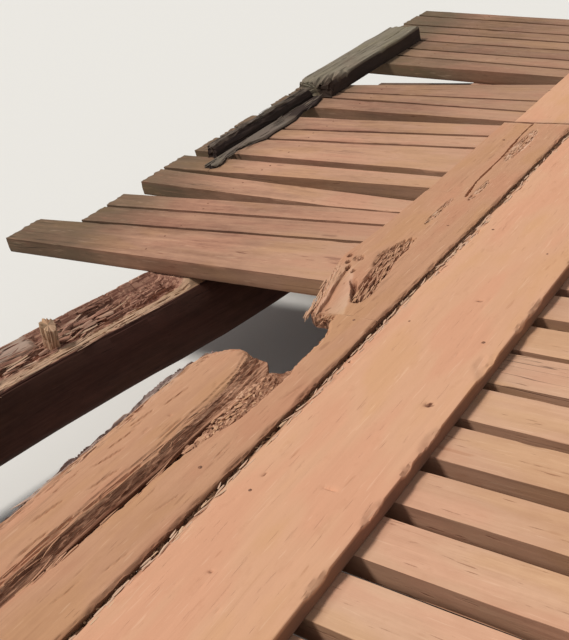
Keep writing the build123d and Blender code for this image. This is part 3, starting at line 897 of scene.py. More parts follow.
def nose_masks(x, y):
    """How far each point is prong, wedge, gully, stripe, knob, flake or hole, and the wedge's tilt."""
    left, right = across_of(WEDGE_LEFT, y), across_of(WEDGE_RIGHT, y)
    wander = 0.004 * rough(x * 40, y * 22, 264)
    prong = step(0.004, -0.004, x - left + wander) * step(0.43, 0.36, y)
    wedge = step(-0.004, 0.004, x - left + wander) * step(0.008, -0.006, x - right + 2 * wander)
    wedge = wedge * band(y, 0.085, 0.375, 0.03)
    tilt = np.clip((right - x) / (right - left), 0, 1)
    gully = step(0.019, 0.008, np.abs(x - across_of(GULLY, y)) + 2.5 * wander) * band(y, 0.178, 0.3, 0.012)
    half = across_of(STRIPE_HALF, y)
    off = np.abs(x - across_of(STRIPE, y)) + 0.014 * rough(x * 46, y * 10, 263)
    stripe = step(half + 0.003, half - 0.007, off) * band(y, 0.18, 0.625, 0.012)
    knob = step(0.1, 0.5, spot(x, y, *KNOB) + 25 * wander)
    flakes = sum(spot(x, y, *place) for place in FLAKES)
    flakes = step(0.18, 0.45, flakes + 0.35 * rough(x * 60, y * 14, 258))
    holes = sum(spot(x, y, *place) for place in NOSE_HOLES)
    return prong, wedge, tilt, gully, stripe, knob, flakes, holes


def stripe_checks(x, y):
    """Depth of the long checks in the rotten stripe."""
    line = np.asarray(STRIPE)
    return sum(fissure(x, y, line + [shift, 0], 0.012, 0.0042, 270 + k, 0.008)
               for k, shift in enumerate(STRIPE_CHECKS))


def nose_relief(x, y):
    """A prong on the outer side, a smooth tilted wedge, a rotten stripe and a long check."""
    prong, wedge, tilt, gully, stripe, knob, flakes, holes = nose_masks(x, y)
    fine = furrows(x + 0.33 * y, y, 260, 120, 10)
    lumps = chunks(x + 0.22 * y, y, 0.008, 0.034, 261)
    outside = step(0.03, 0.004, x - across_of(NOSE_EDGE, y)) * step(0.46, 0.38, y)
    sink = prong * (0.001 + 0.004 * fine) + outside * (0.006 + 0.005 * fine)
    sink = np.maximum(sink, wedge * (0.002 + 0.012 * tilt))
    sink = np.maximum(sink, gully * (0.016 + 0.008 * lumps))
    sink = np.maximum(sink, stripe * (0.0005 + 0.007 * lumps + 0.002 * fine))
    sink = np.maximum(sink, knob * (0.001 + 0.009 * lumps)) + stripe * stripe_checks(x, y)
    tip = step(0.13, 0.06, y + 0.02 * rough(x * 40, 0 * y, 262)) * step(-1.03, -1.05, x)
    sink = np.maximum(sink, tip * (0.002 + 0.013 * lumps)) + 0.022 * np.clip(holes, 0, 1)
    sink = sink + fissure(x, y, CHECK_LINE, 0.03, 0.0042, 265)
    beyond = (across_of(CHECK_LINE, y) - x) * step(1.0, 1.1, y)
    sink = sink + 0.003 * step(0.0, 0.006, beyond) * step(0.1, 0.02, beyond)
    sink = sink + flakes * (0.001 + 0.006 * chunks(x, y, 0.016, 0.045, 266))
    sink = sink + crack_fibres(x, y, 267)
    return sink + 0.0015 * rough(x * 8, y * 3, 249)


def nose_paint(x, y, up, wear):
    """Rot in the stripe and at the tip, pale on the wedge and the prong, sand over the rest."""
    prong, wedge, tilt, gully, stripe, knob, flakes, holes = nose_masks(x, y)
    tip = step(0.13, 0.07, y) * step(-1.03, -1.05, x)
    rotten = np.maximum(np.maximum(0.42 * stripe, 0.42 * knob), np.maximum(0.6 * gully, 0.4 * tip))
    wear[..., ROT] = np.maximum(rotten * (1 - wedge), 0.5 * (up < 0.96) * step(0.6, 0.42, y))
    streaked = rough((x + 0.33 * y) * 60, y * 6, 259) > 0
    wear[..., GREYING] = np.maximum(0.6 * wedge * (1 - tilt), prong * (0.3 + 0.4 * streaked) * (y > 0.07))
    pale = flakes * step(-0.25, 0.05, rough(x * 60, y * 22, 269))
    raised(wear, GREYING, 0.95 * pale)
    smooth = (1 - rotten) * (1 - wedge) * (1 - 0.6 * prong)
    wear[..., SAND] += 0.8 * (up > 0.9) * np.maximum(smooth, flakes) * (1 - 0.8 * pale)
    crack = crack_side(x, y, 267) * (1 - 0.6 * step(0.1, 0.5, y))
    check = np.abs(across_of(CHECK_LINE, y) - x)
    # painted shade darkens the long check, the gully, the holes, the groove along the wedge's left edge
    # (the prong's shadow) and the stripe's checks; the board is also dark along the crack
    dark = np.maximum(0.75 * crack, 0.9 * step(0.004, 0.002, check) * (y > 0.98))
    dark = np.maximum(dark, np.maximum(0.8 * gully, np.clip(holes * 2, 0, 1)))
    dark = np.maximum(dark, 0.55 * wedge * step(0.8, 0.98, tilt))
    dark = np.maximum(dark, 0.85 * stripe * step(0.003, 0.009, stripe_checks(x, y)))
    wear[..., DIRT_AND_SHADE] = np.maximum(0.4 * (up < 0.9), dark)
    return wear


# The other runner boards, and the crack between the two left ones

# Knots and dents in the wide runner: X, Y and half sizes. The first ones are also dark
INNER_BOARD_DENTS = ((-0.654, 0.292, 0.014, 0.005), (-0.556, -0.226, 0.018, 0.007),
                     (-0.8, -0.62, 0.006, 0.005), (-0.72, -0.93, 0.007, 0.005),
                     (-0.62, -0.6, 0.03, 0.005), (-0.86, -0.12, 0.012, 0.004))
DARK_DENTS = 4
# Chips off the wide runner's inner edge: Y, half length and reach
EDGE_SPLINTERS = ((-0.86, 0.05, 0.012), (-0.63, 0.05, 0.02), (-0.47, 0.03, 0.01),
                  (-0.35, 0.06, 0.017), (-0.015, 0.07, 0.046), (0.2, 0.035, 0.012),
                  (0.31, 0.06, 0.01), (0.6, 0.03, 0.012), (0.86, 0.04, 0.01))


def inner_board_relief(x, y):
    """Smooth, with chips along the crack, splinters off the inner edge, dents and scratches."""
    sink = 0.0018 * rough(x * 7, y * 2.2, 271) + 0.0005 * rough(x * 60, y * 5, 272)
    crack = step(0.026, 0.0, x - WIDE_BOARD_X + 0.022 * rough(y * 9, x * 16, 273))
    sink = sink + crack * (0.001 + 0.006 * furrows(x, y, 274, 150, 14))
    for cx, cy, wide, long in INNER_BOARD_DENTS:
        sink = sink + 0.005 * spot(x, y, (cx, cy), (wide, long * 1.6))
    edge = RUNNER_EDGE_X - x
    for k, (cy, half, reach) in enumerate(EDGE_SPLINTERS):
        away = edge / reach + (np.abs(y - cy) / half) ** 2 + 0.25 * rough(x * 60, y * 26, 291 + k)
        layers = terraced(np.clip(1 - away, 0, 1) * 0.009, 0.0032, 281 + k, x, y)
        fibres = furrows(x + 0.2 * y, y, 291 + k, 130, 12)
        sink = sink + step(1.0, 0.9, away) * (0.0015 + layers + 0.003 * fibres)
    rng = np.random.default_rng(277)
    for k in range(26):
        cx, cy, turn = rng.uniform(-0.86, -0.54), rng.uniform(-1.3, 0.3), rng.normal(0, 0.15)
        half = rng.uniform(0.02, 0.07)
        line = [(cx, cy - half), (cx + turn * half, cy + half)]
        sink = sink + fissure(x, y, line, 0.0018, 0.002, 300 + k)
    return sink


def inner_board_paint(x, y, up, wear):
    """Worn and sandy all over, pale chips and soil along the crack, the inner side painted greyer and dark
    as shade.
    """
    crack = step(0.03, 0.0, x - WIDE_BOARD_X + 0.022 * rough(y * 9, x * 16, 273))
    wear[..., GREYING] += 0.25 * crack
    wear[..., ROT] = 0.3 * crack * (rough(x * 70, y * 18, 279) > 0.1)
    wear[..., SAND] += 0.85 * (up > 0.9)
    # painted shade: the board's inner side, facing away from the key light, is greyed and darkened
    inner = (up < 0.9) * (x > -0.7)
    wear[..., DIRT_AND_SHADE] = np.maximum(0.6 * (up < 0.9), 0.8 * step(0.006, 0.0, x - WIDE_BOARD_X))
    for cx, cy, wide, long in INNER_BOARD_DENTS[:DARK_DENTS]:
        knot = spot(x, y, (cx, cy), (1.1 * wide, 1.7 * long)) + 0.25 * rough(x * 90, y * 90, 280)
        raised(wear, ROT, 0.5 * step(0.3, 0.6, knot))
        raised(wear, DIRT_AND_SHADE, 0.8 * step(0.3, 0.6, knot))
    wear[..., GREYING] += 0.55 * inner
    raised(wear, DIRT_AND_SHADE, 0.86 * inner)
    return wear


def board_paint(x, y, up, wear):
    """Sandy on top and soiled down the sides."""
    wear[..., SAND] += 0.7 * (up > 0.9)
    raised(wear, DIRT_AND_SHADE, 0.5 * (up < 0.9))
    return wear


def crack_relief(x, y):
    """Clods and pits: the size of a fine noise, shallower beyond the hole."""
    deep = 0.004 + 0.014 * np.clip(np.abs(rough(x * 90, y * 45, 605, 4)) * 2, 0, 1)
    return deep * (1 - 0.55 * step(0.1, 0.5, y))


# Planks, stumps and the rotten bed

# How far the fanned planks' long edges have worn back from the solids
PLANK_EDGE_WEAR = 0.003
# How light some planks are between dark (0) and light (1), as in the photograph
PLANK_TINTS = {"left_plank_01": 0.48, "left_plank_02": 0.16, "left_plank_03": 0.52, "left_plank_04": 0.9,
               "left_planks_05_to_07": 0.95}
# The rotten bed in the split: its outer edge as X at Y, its inner edge and its end
BED_OUTER = [(-1.2, -1.25), (-1.215, -1.0), (-1.205, -0.6), (-1.17, -0.42), (-1.13, -0.3),
             (-1.12, -0.225)]
BED_INNER_X = -0.97
BED_END_Y = -0.232


def plank_paint(x, y, up, wear):
    """Greyer towards the outer ends, sandy towards the runners; grime and painted shade down the sides and
    along the arrises, and a painted shadow beside the runner.
    """
    outer = np.abs(x)
    patches = step(0.1, 0.7, rough(x * 1.3, y * 2, 401)) * (x < 0)
    wear[..., GREYING] += 0.85 * step(2.15, 2.65, outer) + 0.3 * patches
    wear[..., GREYING] += 0.35 * (up < 0.9) * (x < -1.2) + 0.45 * step(1.9, 2.5, y) * (x < -1.2)
    wear[..., SAND] += 0.95 * step(0.95, 0.15, np.abs(outer - 0.95) - 0.1)
    wear[..., SAND] *= 1 - 0.6 * step(1.8, 2.3, y) * (x < -1.0)
    # painted shadow of the runner on the planks beside its inner edge
    wander = 0.004 * rough(y * 20, x * 0, 402)
    beside = step(RUNNER_EDGE_X + 0.036, RUNNER_EDGE_X + 0.018, x + wander) * (x > -0.6)
    # a little grime, and painted shade down the sides and along the top arrises, which darkens the gaps
    # between planks
    side = 0.12 + 0.33 * step(0.995, 0.98, up) + 0.25 * step(0.35, 0.05, up)
    side = side + 0.22 * band(up, 0.975, 0.993, 0.003)
    wear[..., DIRT_AND_SHADE] = np.maximum(side, 0.6 * beside)
    return wear


def stump_relief(x, y):
    """Rotted away towards the broken end, in furrows that run along the plank."""
    gone = step(-1.02, -1.17, x)
    return gone * (0.004 + 0.02 * furrows(y, x, 411, 90, 16)) + 0.002


def stump_paint(x, y, up, wear):
    """Rotten all over, most at the broken end."""
    wear[..., ROT] = 0.45 + 0.4 * step(-1.02, -1.12, x)
    wear[..., DIRT_AND_SHADE] = 0.5
    return wear


def bed_relief(x, y):
    """Coarse fibres and lumps: coarse furrows, and fine ones over them."""
    return 0.004 + 0.016 * furrows(x + 0.1 * y, y, 422, 50, 12) + 0.005 * furrows(x, y, 423, 130, 40)


def bed_paint(x, y, up, wear):
    """Rotten and soiled."""
    wear[..., ROT] = 0.35
    wear[..., DIRT_AND_SHADE] = 0.6 + 0.28 * step(-0.2, 0.5, rough(x * 12, y * 6, 424))
    return wear


# Kerbs

# Inner edge of the thin scab beside the rotten rim, as X at Y, and X where the two meet
SCAB_EDGE = [(-2.417, 1.13), (-2.403, 1.19), (-2.438, 1.27), (-2.445, 1.366), (-2.425, 1.43),
             (-2.376, 1.52), (-2.385, 1.61), (-2.378, 1.7), (-2.376, 1.78), (-2.41, 1.9),
             (-2.395, 2.0), (-2.43, 2.12)]
SCAB_OUTER_X = -2.487
# Checks in the far kerb's top: how far inside its outer edge, and from which Y to which
KERB_OUTER_X = -2.6
KERB_CHECKS = ((0.06, 2.2, 2.75), (0.12, 2.5, 3.1), (0.17, 2.3, 2.6))


def rotten_kerb_end(x, y):
    """From 0 to 1 where the left far kerb breaks up, further in beside the roadway."""
    reach = 2.2 + 0.16 * step(-2.54, -2.4, x)
    return step(reach, reach - 0.14, y + 0.05 * rough(x * 30, y * 2, 513)) * (x < 0) * (y > 0)


def kerb_relief(x, y):
    """Deep weathered grain, a few long checks, and lumps where the left far kerb breaks up."""
    sink = 0.006 * furrows(x, y, 511, 45, 1.6) + 0.003 * (1 + rough(x * 9, y * 2, 512))
    sink = sink + 0.055 * rotten_kerb_end(x, y) * chunks(x, y, 0.022, 0.09, 514)
    for k, (inset, start, end) in enumerate(KERB_CHECKS):
        line = [(KERB_OUTER_X + inset, start), (KERB_OUTER_X + inset + 0.01, end)]
        sink = sink + fissure(x, y, line, 0.012, 0.004, 515 + k)
    return sink


def kerb_paint(x, y, up, wear):
    """Grey on top, painted dark as shade on the side that faces the roadway, and dark at the broken end."""
    inner = np.abs(x) < 2.5
    broken = rotten_kerb_end(x, y) * step(-2.55, -2.49, x)
    wear[..., GREYING] += 0.45 * (up > 0.9) * (1 - broken)
    # painted shade on the side that faces the roadway
    raised(wear, DIRT_AND_SHADE, 0.95 * (up < 0.97) * inner)
    raised(wear, DIRT_AND_SHADE, 0.94 * broken)
    return wear


def rotten_kerb_relief(x, y):
    """Fibres that stand up along a ragged top, which falls off on the rim's inner half."""
    fall = 0.024 * step(-2.53, -2.492, x + 0.006 * rough(x * 9, y * 7, 523))
    fall = fall * (x < SCAB_OUTER_X)
    return fall + 0.003 + 0.012 * furrows(x, y, 521, 60, 4) + 0.006 * (1 + rough(x * 20, y * 5, 522))


def rotten_kerb_paint(x, y, up, wear):
    """Half rotten and grey on top; painted dark as shade on the sides and on the rim's inner half, and dark
    at the scab's far end.
    """
    inner_half = step(-2.532, -2.514, x + 0.008 * rough(x * 20, y * 8, 524)) * (x < SCAB_OUTER_X)
    far_end = step(1.66, 1.84, y + 0.05 * rough(x * 25, y * 5, 525)) * (x > SCAB_OUTER_X)
    # painted shade on the sides and the rim's inner half; the scab's far end is dark
    dark = np.maximum(0.95 * (up < 0.97), 0.95 * np.maximum(inner_half, far_end))
    wear[..., ROT] = 0.06 * (up > 0.9)
    wear[..., GREYING] += 0.8 * (up > 0.9)
    raised(wear, DIRT_AND_SHADE, dark)
    return wear


# Shader arithmetic


class Wire:
    """A value in a finish: a socket that takes the usual signs of arithmetic."""

    def __init__(self, finish, socket):
        self.finish, self.socket = finish, socket

    def sum(self, operation, *values):
        """One node of arithmetic over values, in their order."""
        return self.finish.add("ShaderNodeMath", {"operation": operation}, dict(enumerate(values)))

    def __add__(self, other):
        return self.sum("ADD", self, other)

    def __sub__(self, other):
        return self.sum("SUBTRACT", self, other)

    def __rsub__(self, other):
        return self.sum("SUBTRACT", other, self)

    def __mul__(self, other):
        return self.sum("MULTIPLY", self, other)

    __radd__, __rmul__ = __add__, __mul__

    def other(self, output):
        """Another output of the same node."""
        return Wire(self.finish, self.socket.node.outputs[output])

    def clipped(self):
        """The value, kept between 0 and 1."""
        return self.finish.add("ShaderNodeClamp", {}, {"Value": self, "Min": 0.0, "Max": 1.0}, "Result")

    def size(self):
        """The value without its sign."""
        return self.sum("ABSOLUTE", self)

    def step(self, low, high):
        """0 at low, 1 at high, and smooth between."""
        return self.finish.add(
            "ShaderNodeMapRange",
            {"interpolation_type": "SMOOTHSTEP"},
            {"Value": self, "From Min": low, "From Max": high, "To Min": 0.0, "To Max": 1.0},
            "Result",
        )


class Finish:
    """The nodes of a material or of the world, written as expressions."""

    def __init__(self, holder):
        holder.use_nodes = True
        self.tree = holder.node_tree
        self.tree.nodes.clear()

    def add(self, kind, settings, sockets, output=0):
        """One node: its settings first, then the values or links of its sockets."""
        node = self.tree.nodes.new(kind)
        for name, value in settings.items():
            setattr(node, name, value)
        for name, value in sockets.items():
            socket = node.inputs[name]
            if isinstance(value, Wire):
                self.tree.links.new(value.socket, socket)
            else:
                socket.default_value = value
        return Wire(self, node.outputs[output]) if len(node.outputs) else None

    def blend(self, share, first, second, how="MIX"):
        """Mixes two colours by a share."""
        return self.add(
            "ShaderNodeMix", {"data_type": "RGBA", "blend_type": how},
            {0: share, 6: first, 7: second}, 2,
        )

    def stain(self, share, colour, tone, depth=1.0):
        """Multiplies a colour by a tone, to a depth, as far as the share says."""
        return self.blend(share, colour, self.blend(depth, colour, tone, "MULTIPLY"))

    def attribute(self, name, output):
        """One of the values that the points of a piece carry."""
        return self.add("ShaderNodeAttribute", {"attribute_name": name}, {}, output)

    def noise(self, vector, detail, roughness, distortion=0.0, scale=1.0):
        """Noise over a place, as a value about 0.5."""
        return self.add(
            "ShaderNodeTexNoise", {"noise_dimensions": "3D"},
            {"Vector": vector, "Scale": scale, "Detail": detail, "Roughness": roughness,
             "Distortion": distortion}, "Fac",
        )

    def grained(self, grain, along, across, shift, detail, roughness, distortion=0.0):
        """Noise over the grain coordinates, scaled along and across the grain and shifted."""
        for operation, amount in (("MULTIPLY", (along, across, across)), ("ADD", (shift, shift, shift))):
            sockets = {0: grain, 1: amount}
            grain = self.add("ShaderNodeVectorMath", {"operation": operation}, sockets, "Vector")
        return self.noise(grain, detail, roughness, distortion)

    def bump(self, height, strength, distance):
        """The surface's direction, tipped by a height."""
        sockets = {"Height": height, "Strength": strength, "Distance": distance}
        return self.add("ShaderNodeBump", {}, sockets, "Normal")

    def finish(self, colour, roughness, normal):
        """Ends the material with one shader."""
        shader = self.add(
            "ShaderNodeBsdfPrincipled", {},
            {"Base Color": colour, "Roughness": roughness, "Normal": normal, "Specular IOR Level": 0.25},
            "BSDF",
        )
        self.add("ShaderNodeOutputMaterial", {}, {"Surface": shader})


# Finishes


def srgb(red, green, blue):
    """A colour given as three numbers from 0 to 255, as the shader's linear values."""
    values = np.array([red, green, blue]) / 255.0
    linear = np.where(values <= 0.04045, values / 12.92, ((values + 0.055) / 1.055) ** 2.4)
    return (*[float(v) for v in linear], 1.0)


# Painted deep shade: wood painted as lying in lasting shade keeps this share of its colour
DEEP_SHADE = srgb(140, 124, 126)


def timber_finish(name, light, dark, grey, fibre, sand, contrast=1.0, grain_scale=1.0, checks=0.75):
    """Weathered timber: streaks along the grain, patches, checks, rot, sand, grime and painted shade.

    Streaks are noise stretched along the timber, checks are the thin valleys of a coarser
    stretched noise, and the wear colour of the piece says where rot (red), greying (green),
    sand (blue) and grime with painted shade (alpha) lie; high alpha is painted deep shade.
    """
    f = Finish(bpy.data.materials.new(name))
    grain = f.attribute("grain", "Vector")
    wear = f.attribute("wear", "Color")
    dirt_and_shade = wear.other("Alpha")
    tint = f.attribute("tint", "Fac")
    rot = f.add("ShaderNodeSeparateColor", {}, {"Color": wear}, "Red")
    greying, sandy = rot.other("Green"), rot.other("Blue")
    k = grain_scale
    broad = f.grained(grain, 0.9 * k, 7 * k, 0.0, 4.0, 0.6, 0.4)
    streak = f.grained(grain, 1.6 * k, 38 * k, 5.0, 5.0, 0.62, 0.3)
    fine = f.grained(grain, 9 * k, 210 * k, 9.0, 3.0, 0.6)
    patch = f.grained(grain, 1.3, 3.2, 2.0, 3.0, 0.5)
    speckle = f.grained(grain, 60, 90, 1.0, 2.0, 0.6)
    valley = f.grained(grain, 0.9 * k, 34 * k, 14.0, 2.0, 0.5, 0.15)
    check = 1 - (valley - 0.5).size().step(0.0, 0.012)
    check = check * patch.step(0.52, 0.66)
    mottle = f.grained(grain, 13, 24, 31.0, 4.0, 0.65)
    scratch = f.grained(grain, 5, 150, 37.0, 2.0, 0.5)
    body = (broad - 0.5) * (1.1 * contrast) + (streak - 0.5) * (0.9 * contrast) + 0.5
    body = body + (mottle - 0.5) * (0.7 * contrast)
    body = (body + (tint - 0.5) * (0.5 * contrast)).clipped()
    colour = f.blend(body, dark, light)
    colour = f.blend(((fine - 0.5) * 0.9 * contrast + 0.12).clipped(), colour, f.blend(0.6, colour, dark))
    colour = f.blend((greying * 0.85 + (patch.step(0.58, 0.78)) * 0.18).clipped(), colour, grey)
    sanded = (sandy * (0.55 + 0.9 * (patch - 0.35))).clipped()
    colour = f.blend(sanded, colour, f.blend((speckle - 0.3).clipped() * 0.5, sand, light))
    knots = f.grained(grain, 7, 34, 43.0, 1.5, 0.5).step(0.7, 0.76)
    blotched = (mottle.step(0.56, 0.72) * 0.28 + scratch.step(0.66, 0.72) * 0.3 + knots * 0.6).clipped()
    colour = f.blend(blotched, colour, dark)
    colour = f.blend(scratch.step(0.34, 0.28) * 0.35, colour, light)
    hue = f.grained(grain, 2.4, 7, 61.0, 2.0, 0.5)
    colour = f.stain(hue.step(0.5, 0.64) * 0.42, colour, srgb(255, 237, 238))
    colour = f.stain(hue.step(0.5, 0.36) * 0.42, colour, srgb(250, 249, 226))
    dashes = f.grained(grain, 11, 140, 53.0, 1.5, 0.5)
    dark_dash = dashes.step(0.66, 0.73) * mottle.step(0.4, 0.6)
    colour = f.stain(dark_dash * (0.12 + 0.62 * checks), colour, srgb(160, 116, 96), 0.9)
    colour = f.blend(dashes.step(0.34, 0.27) * 0.25, colour, f.blend(0.6, colour, srgb(250, 216, 184)))
    ridge = f.grained(grain, 5.0, 95, 21.0, 4.0, 0.7, 0.8)
    rotten = f.blend(ridge.step(0.36, 0.68), fibre[0], fibre[1])
    rotten = f.blend(ridge.step(0.62, 0.8) * 0.8, rotten, fibre[2])
    rot_edge = (rot * 1.6 + (streak - 0.5) * 0.9 - 0.25).step(0.15, 0.55)
    colour = f.blend(rot_edge, colour, rotten)
    colour = f.stain(check * checks, colour, srgb(52, 32, 24), 0.8)
    # grime, and painted shade where the wear's last part is high
    soiled = (dirt_and_shade * 1.3 + (patch - 0.5) * 0.5 - 0.12).clipped() * 0.8
    colour = f.stain(soiled, colour, srgb(150, 118, 104), 0.75)
    # painted deep shade where the wear's last part is above 0.84
    colour = f.stain(dirt_and_shade.step(0.84, 0.97), colour, DEEP_SHADE)
    relief = fine * 0.25 + streak * 0.55 - check * (1.2 * checks) + speckle * 0.12 - dark_dash * 0.6
    relief = relief + ridge * rot_edge * 2.2
    normal = f.bump(relief, strength=0.55, distance=0.0035)
    rough_value = (0.78 + 0.18 * fine).clipped()
    f.finish(colour, rough_value, normal)


def soil_finish(name, light, dark, straw):
    """Crumbly soil, with pale chips where the wear colour's blue is high."""
    f = Finish(bpy.data.materials.new(name))
    grain = f.attribute("grain", "Vector")
    pale = f.add("ShaderNodeSeparateColor", {}, {"Color": f.attribute("wear", "Color")}, "Blue")
    clods = f.grained(grain, 60, 90, 0.0, 4.0, 0.7)
    colour = f.blend(clods.step(0.35, 0.65), dark, light)
    colour = f.blend(pale * (0.75 + 0.5 * (clods - 0.5)), colour, straw)
    f.finish(colour, 0.95, f.bump(clods, strength=0.6, distance=0.004))


def iron_finish(name, rust, dark):
    """Rust in blotches over dark mill scale."""
    f = Finish(bpy.data.materials.new(name))
    place = f.add("ShaderNodeTexCoord", {}, {}, "Object")
    blotch = f.noise(place, 3.0, 0.6, scale=240.0)
    colour = f.blend(blotch.step(0.4, 0.6), dark, rust)
    normal = f.bump(blotch, strength=0.4, distance=0.0008)
    f.finish(colour, (0.65 + 0.3 * blotch).clipped(), normal)


# Settings and operators


class BridgeSettings(bpy.types.PropertyGroup):
    """Sizes and colours that can be changed before the pieces are made."""

    grain_depth: FloatProperty(
        name="Grain depth", description="Depth of the grooves along the planks",
        default=0.0011, min=0.0, unit="LENGTH",
    )
    edge_radius: FloatProperty(
        name="Edge wear", description="Radius of the planks' worn edges",
        default=0.0026, min=0.001, unit="LENGTH",
    )
    plank_light: FloatVectorProperty(
        name="Plank, light", description="Light streaks of the deck planks", subtype="COLOR", size=4,
        default=srgb(226, 182, 150), min=0.0, max=1.0,
    )
    plank_dark: FloatVectorProperty(
        name="Plank, dark", description="Dark streaks of the deck planks", subtype="COLOR", size=4,
        default=srgb(186, 138, 108), min=0.0, max=1.0,
    )
    runner_light: FloatVectorProperty(
        name="Runner, light", description="Light streaks of the runner boards", subtype="COLOR", size=4,
        default=srgb(220, 169, 136), min=0.0, max=1.0,
    )
    runner_dark: FloatVectorProperty(
        name="Runner, dark", description="Dark streaks of the runner boards", subtype="COLOR", size=4,
        default=srgb(192, 140, 108), min=0.0, max=1.0,
    )
    sun_strength: FloatProperty(
        name="Key light", description="Strength of the key light", default=2.68, min=0.0
    )
    fill_strength: FloatProperty(
        name="Fill light", description="Strength of the light from all sides", default=0.34, min=0.0
    )


class BRIDGE_OT_finishes(bpy.types.Operator):
    """Makes the timber finishes"""

    bl_idname = "bridge.finishes"
    bl_label = "Timber finishes"

    def execute(self, context):
        settings = context.scene.bridge_settings
        fibre = (srgb(128, 84, 62), srgb(202, 154, 124), srgb(244, 212, 180))
        log_fibre = (srgb(122, 80, 66), srgb(196, 150, 126), srgb(242, 212, 176))
        grey = srgb(146, 126, 112)
        sand = srgb(208, 168, 140)
        timber_finish(
            "plank_wood", tuple(settings.plank_light), tuple(settings.plank_dark), grey, fibre, sand
        )
        timber_finish(
            "left_plank_wood", srgb(198, 152, 124), srgb(136, 98, 80), srgb(94, 82, 62), fibre,
            srgb(206, 162, 132), contrast=1.4,
        )
        timber_finish(
            "runner_wood", tuple(settings.runner_light), tuple(settings.runner_dark), grey, fibre,
            srgb(216, 167, 134), contrast=0.9, grain_scale=0.8, checks=0.0,
        )
        timber_finish(
            "outer_runner_wood", srgb(206, 158, 124), srgb(162, 117, 90), srgb(216, 182, 156), fibre,
            srgb(194, 145, 114), contrast=1.1, grain_scale=0.8, checks=0.25,
        )
        timber_finish(
            "kerb_wood", srgb(152, 140, 122), srgb(98, 88, 76), srgb(132, 124, 106), fibre, sand,
            contrast=1.2,
        )
        timber_finish(
            "log_wood", srgb(140, 112, 92), srgb(84, 62, 50), srgb(128, 118, 108), fibre, sand,
            contrast=1.2, grain_scale=0.7,
        )
        timber_finish(
            "rotten_log_wood", srgb(204, 160, 134), srgb(126, 88, 70), srgb(162, 148, 136), log_fibre,
            srgb(212, 182, 148), contrast=1.5, grain_scale=0.7,
        )
        timber_finish(
            "flaked_wood", srgb(176, 148, 134), srgb(118, 94, 86), srgb(156, 138, 132), log_fibre,
            srgb(214, 186, 160), contrast=1.5, grain_scale=0.8,
        )
        timber_finish(
            "rotten_wood", srgb(140, 102, 80), srgb(84, 56, 42), srgb(140, 122, 108), fibre, sand,
            contrast=1.3, grain_scale=0.7,
        )
        timber_finish(
            "rotten_kerb_wood", srgb(116, 104, 90), srgb(76, 66, 56), srgb(120, 108, 98), log_fibre, sand,
            contrast=1.2, grain_scale=0.8,
        )
        soil_finish("soil", srgb(118, 84, 60), srgb(68, 46, 34), srgb(206, 172, 128))
        iron_finish("rusty_iron", srgb(146, 100, 74), srgb(104, 76, 62))
        return {"FINISHED"}


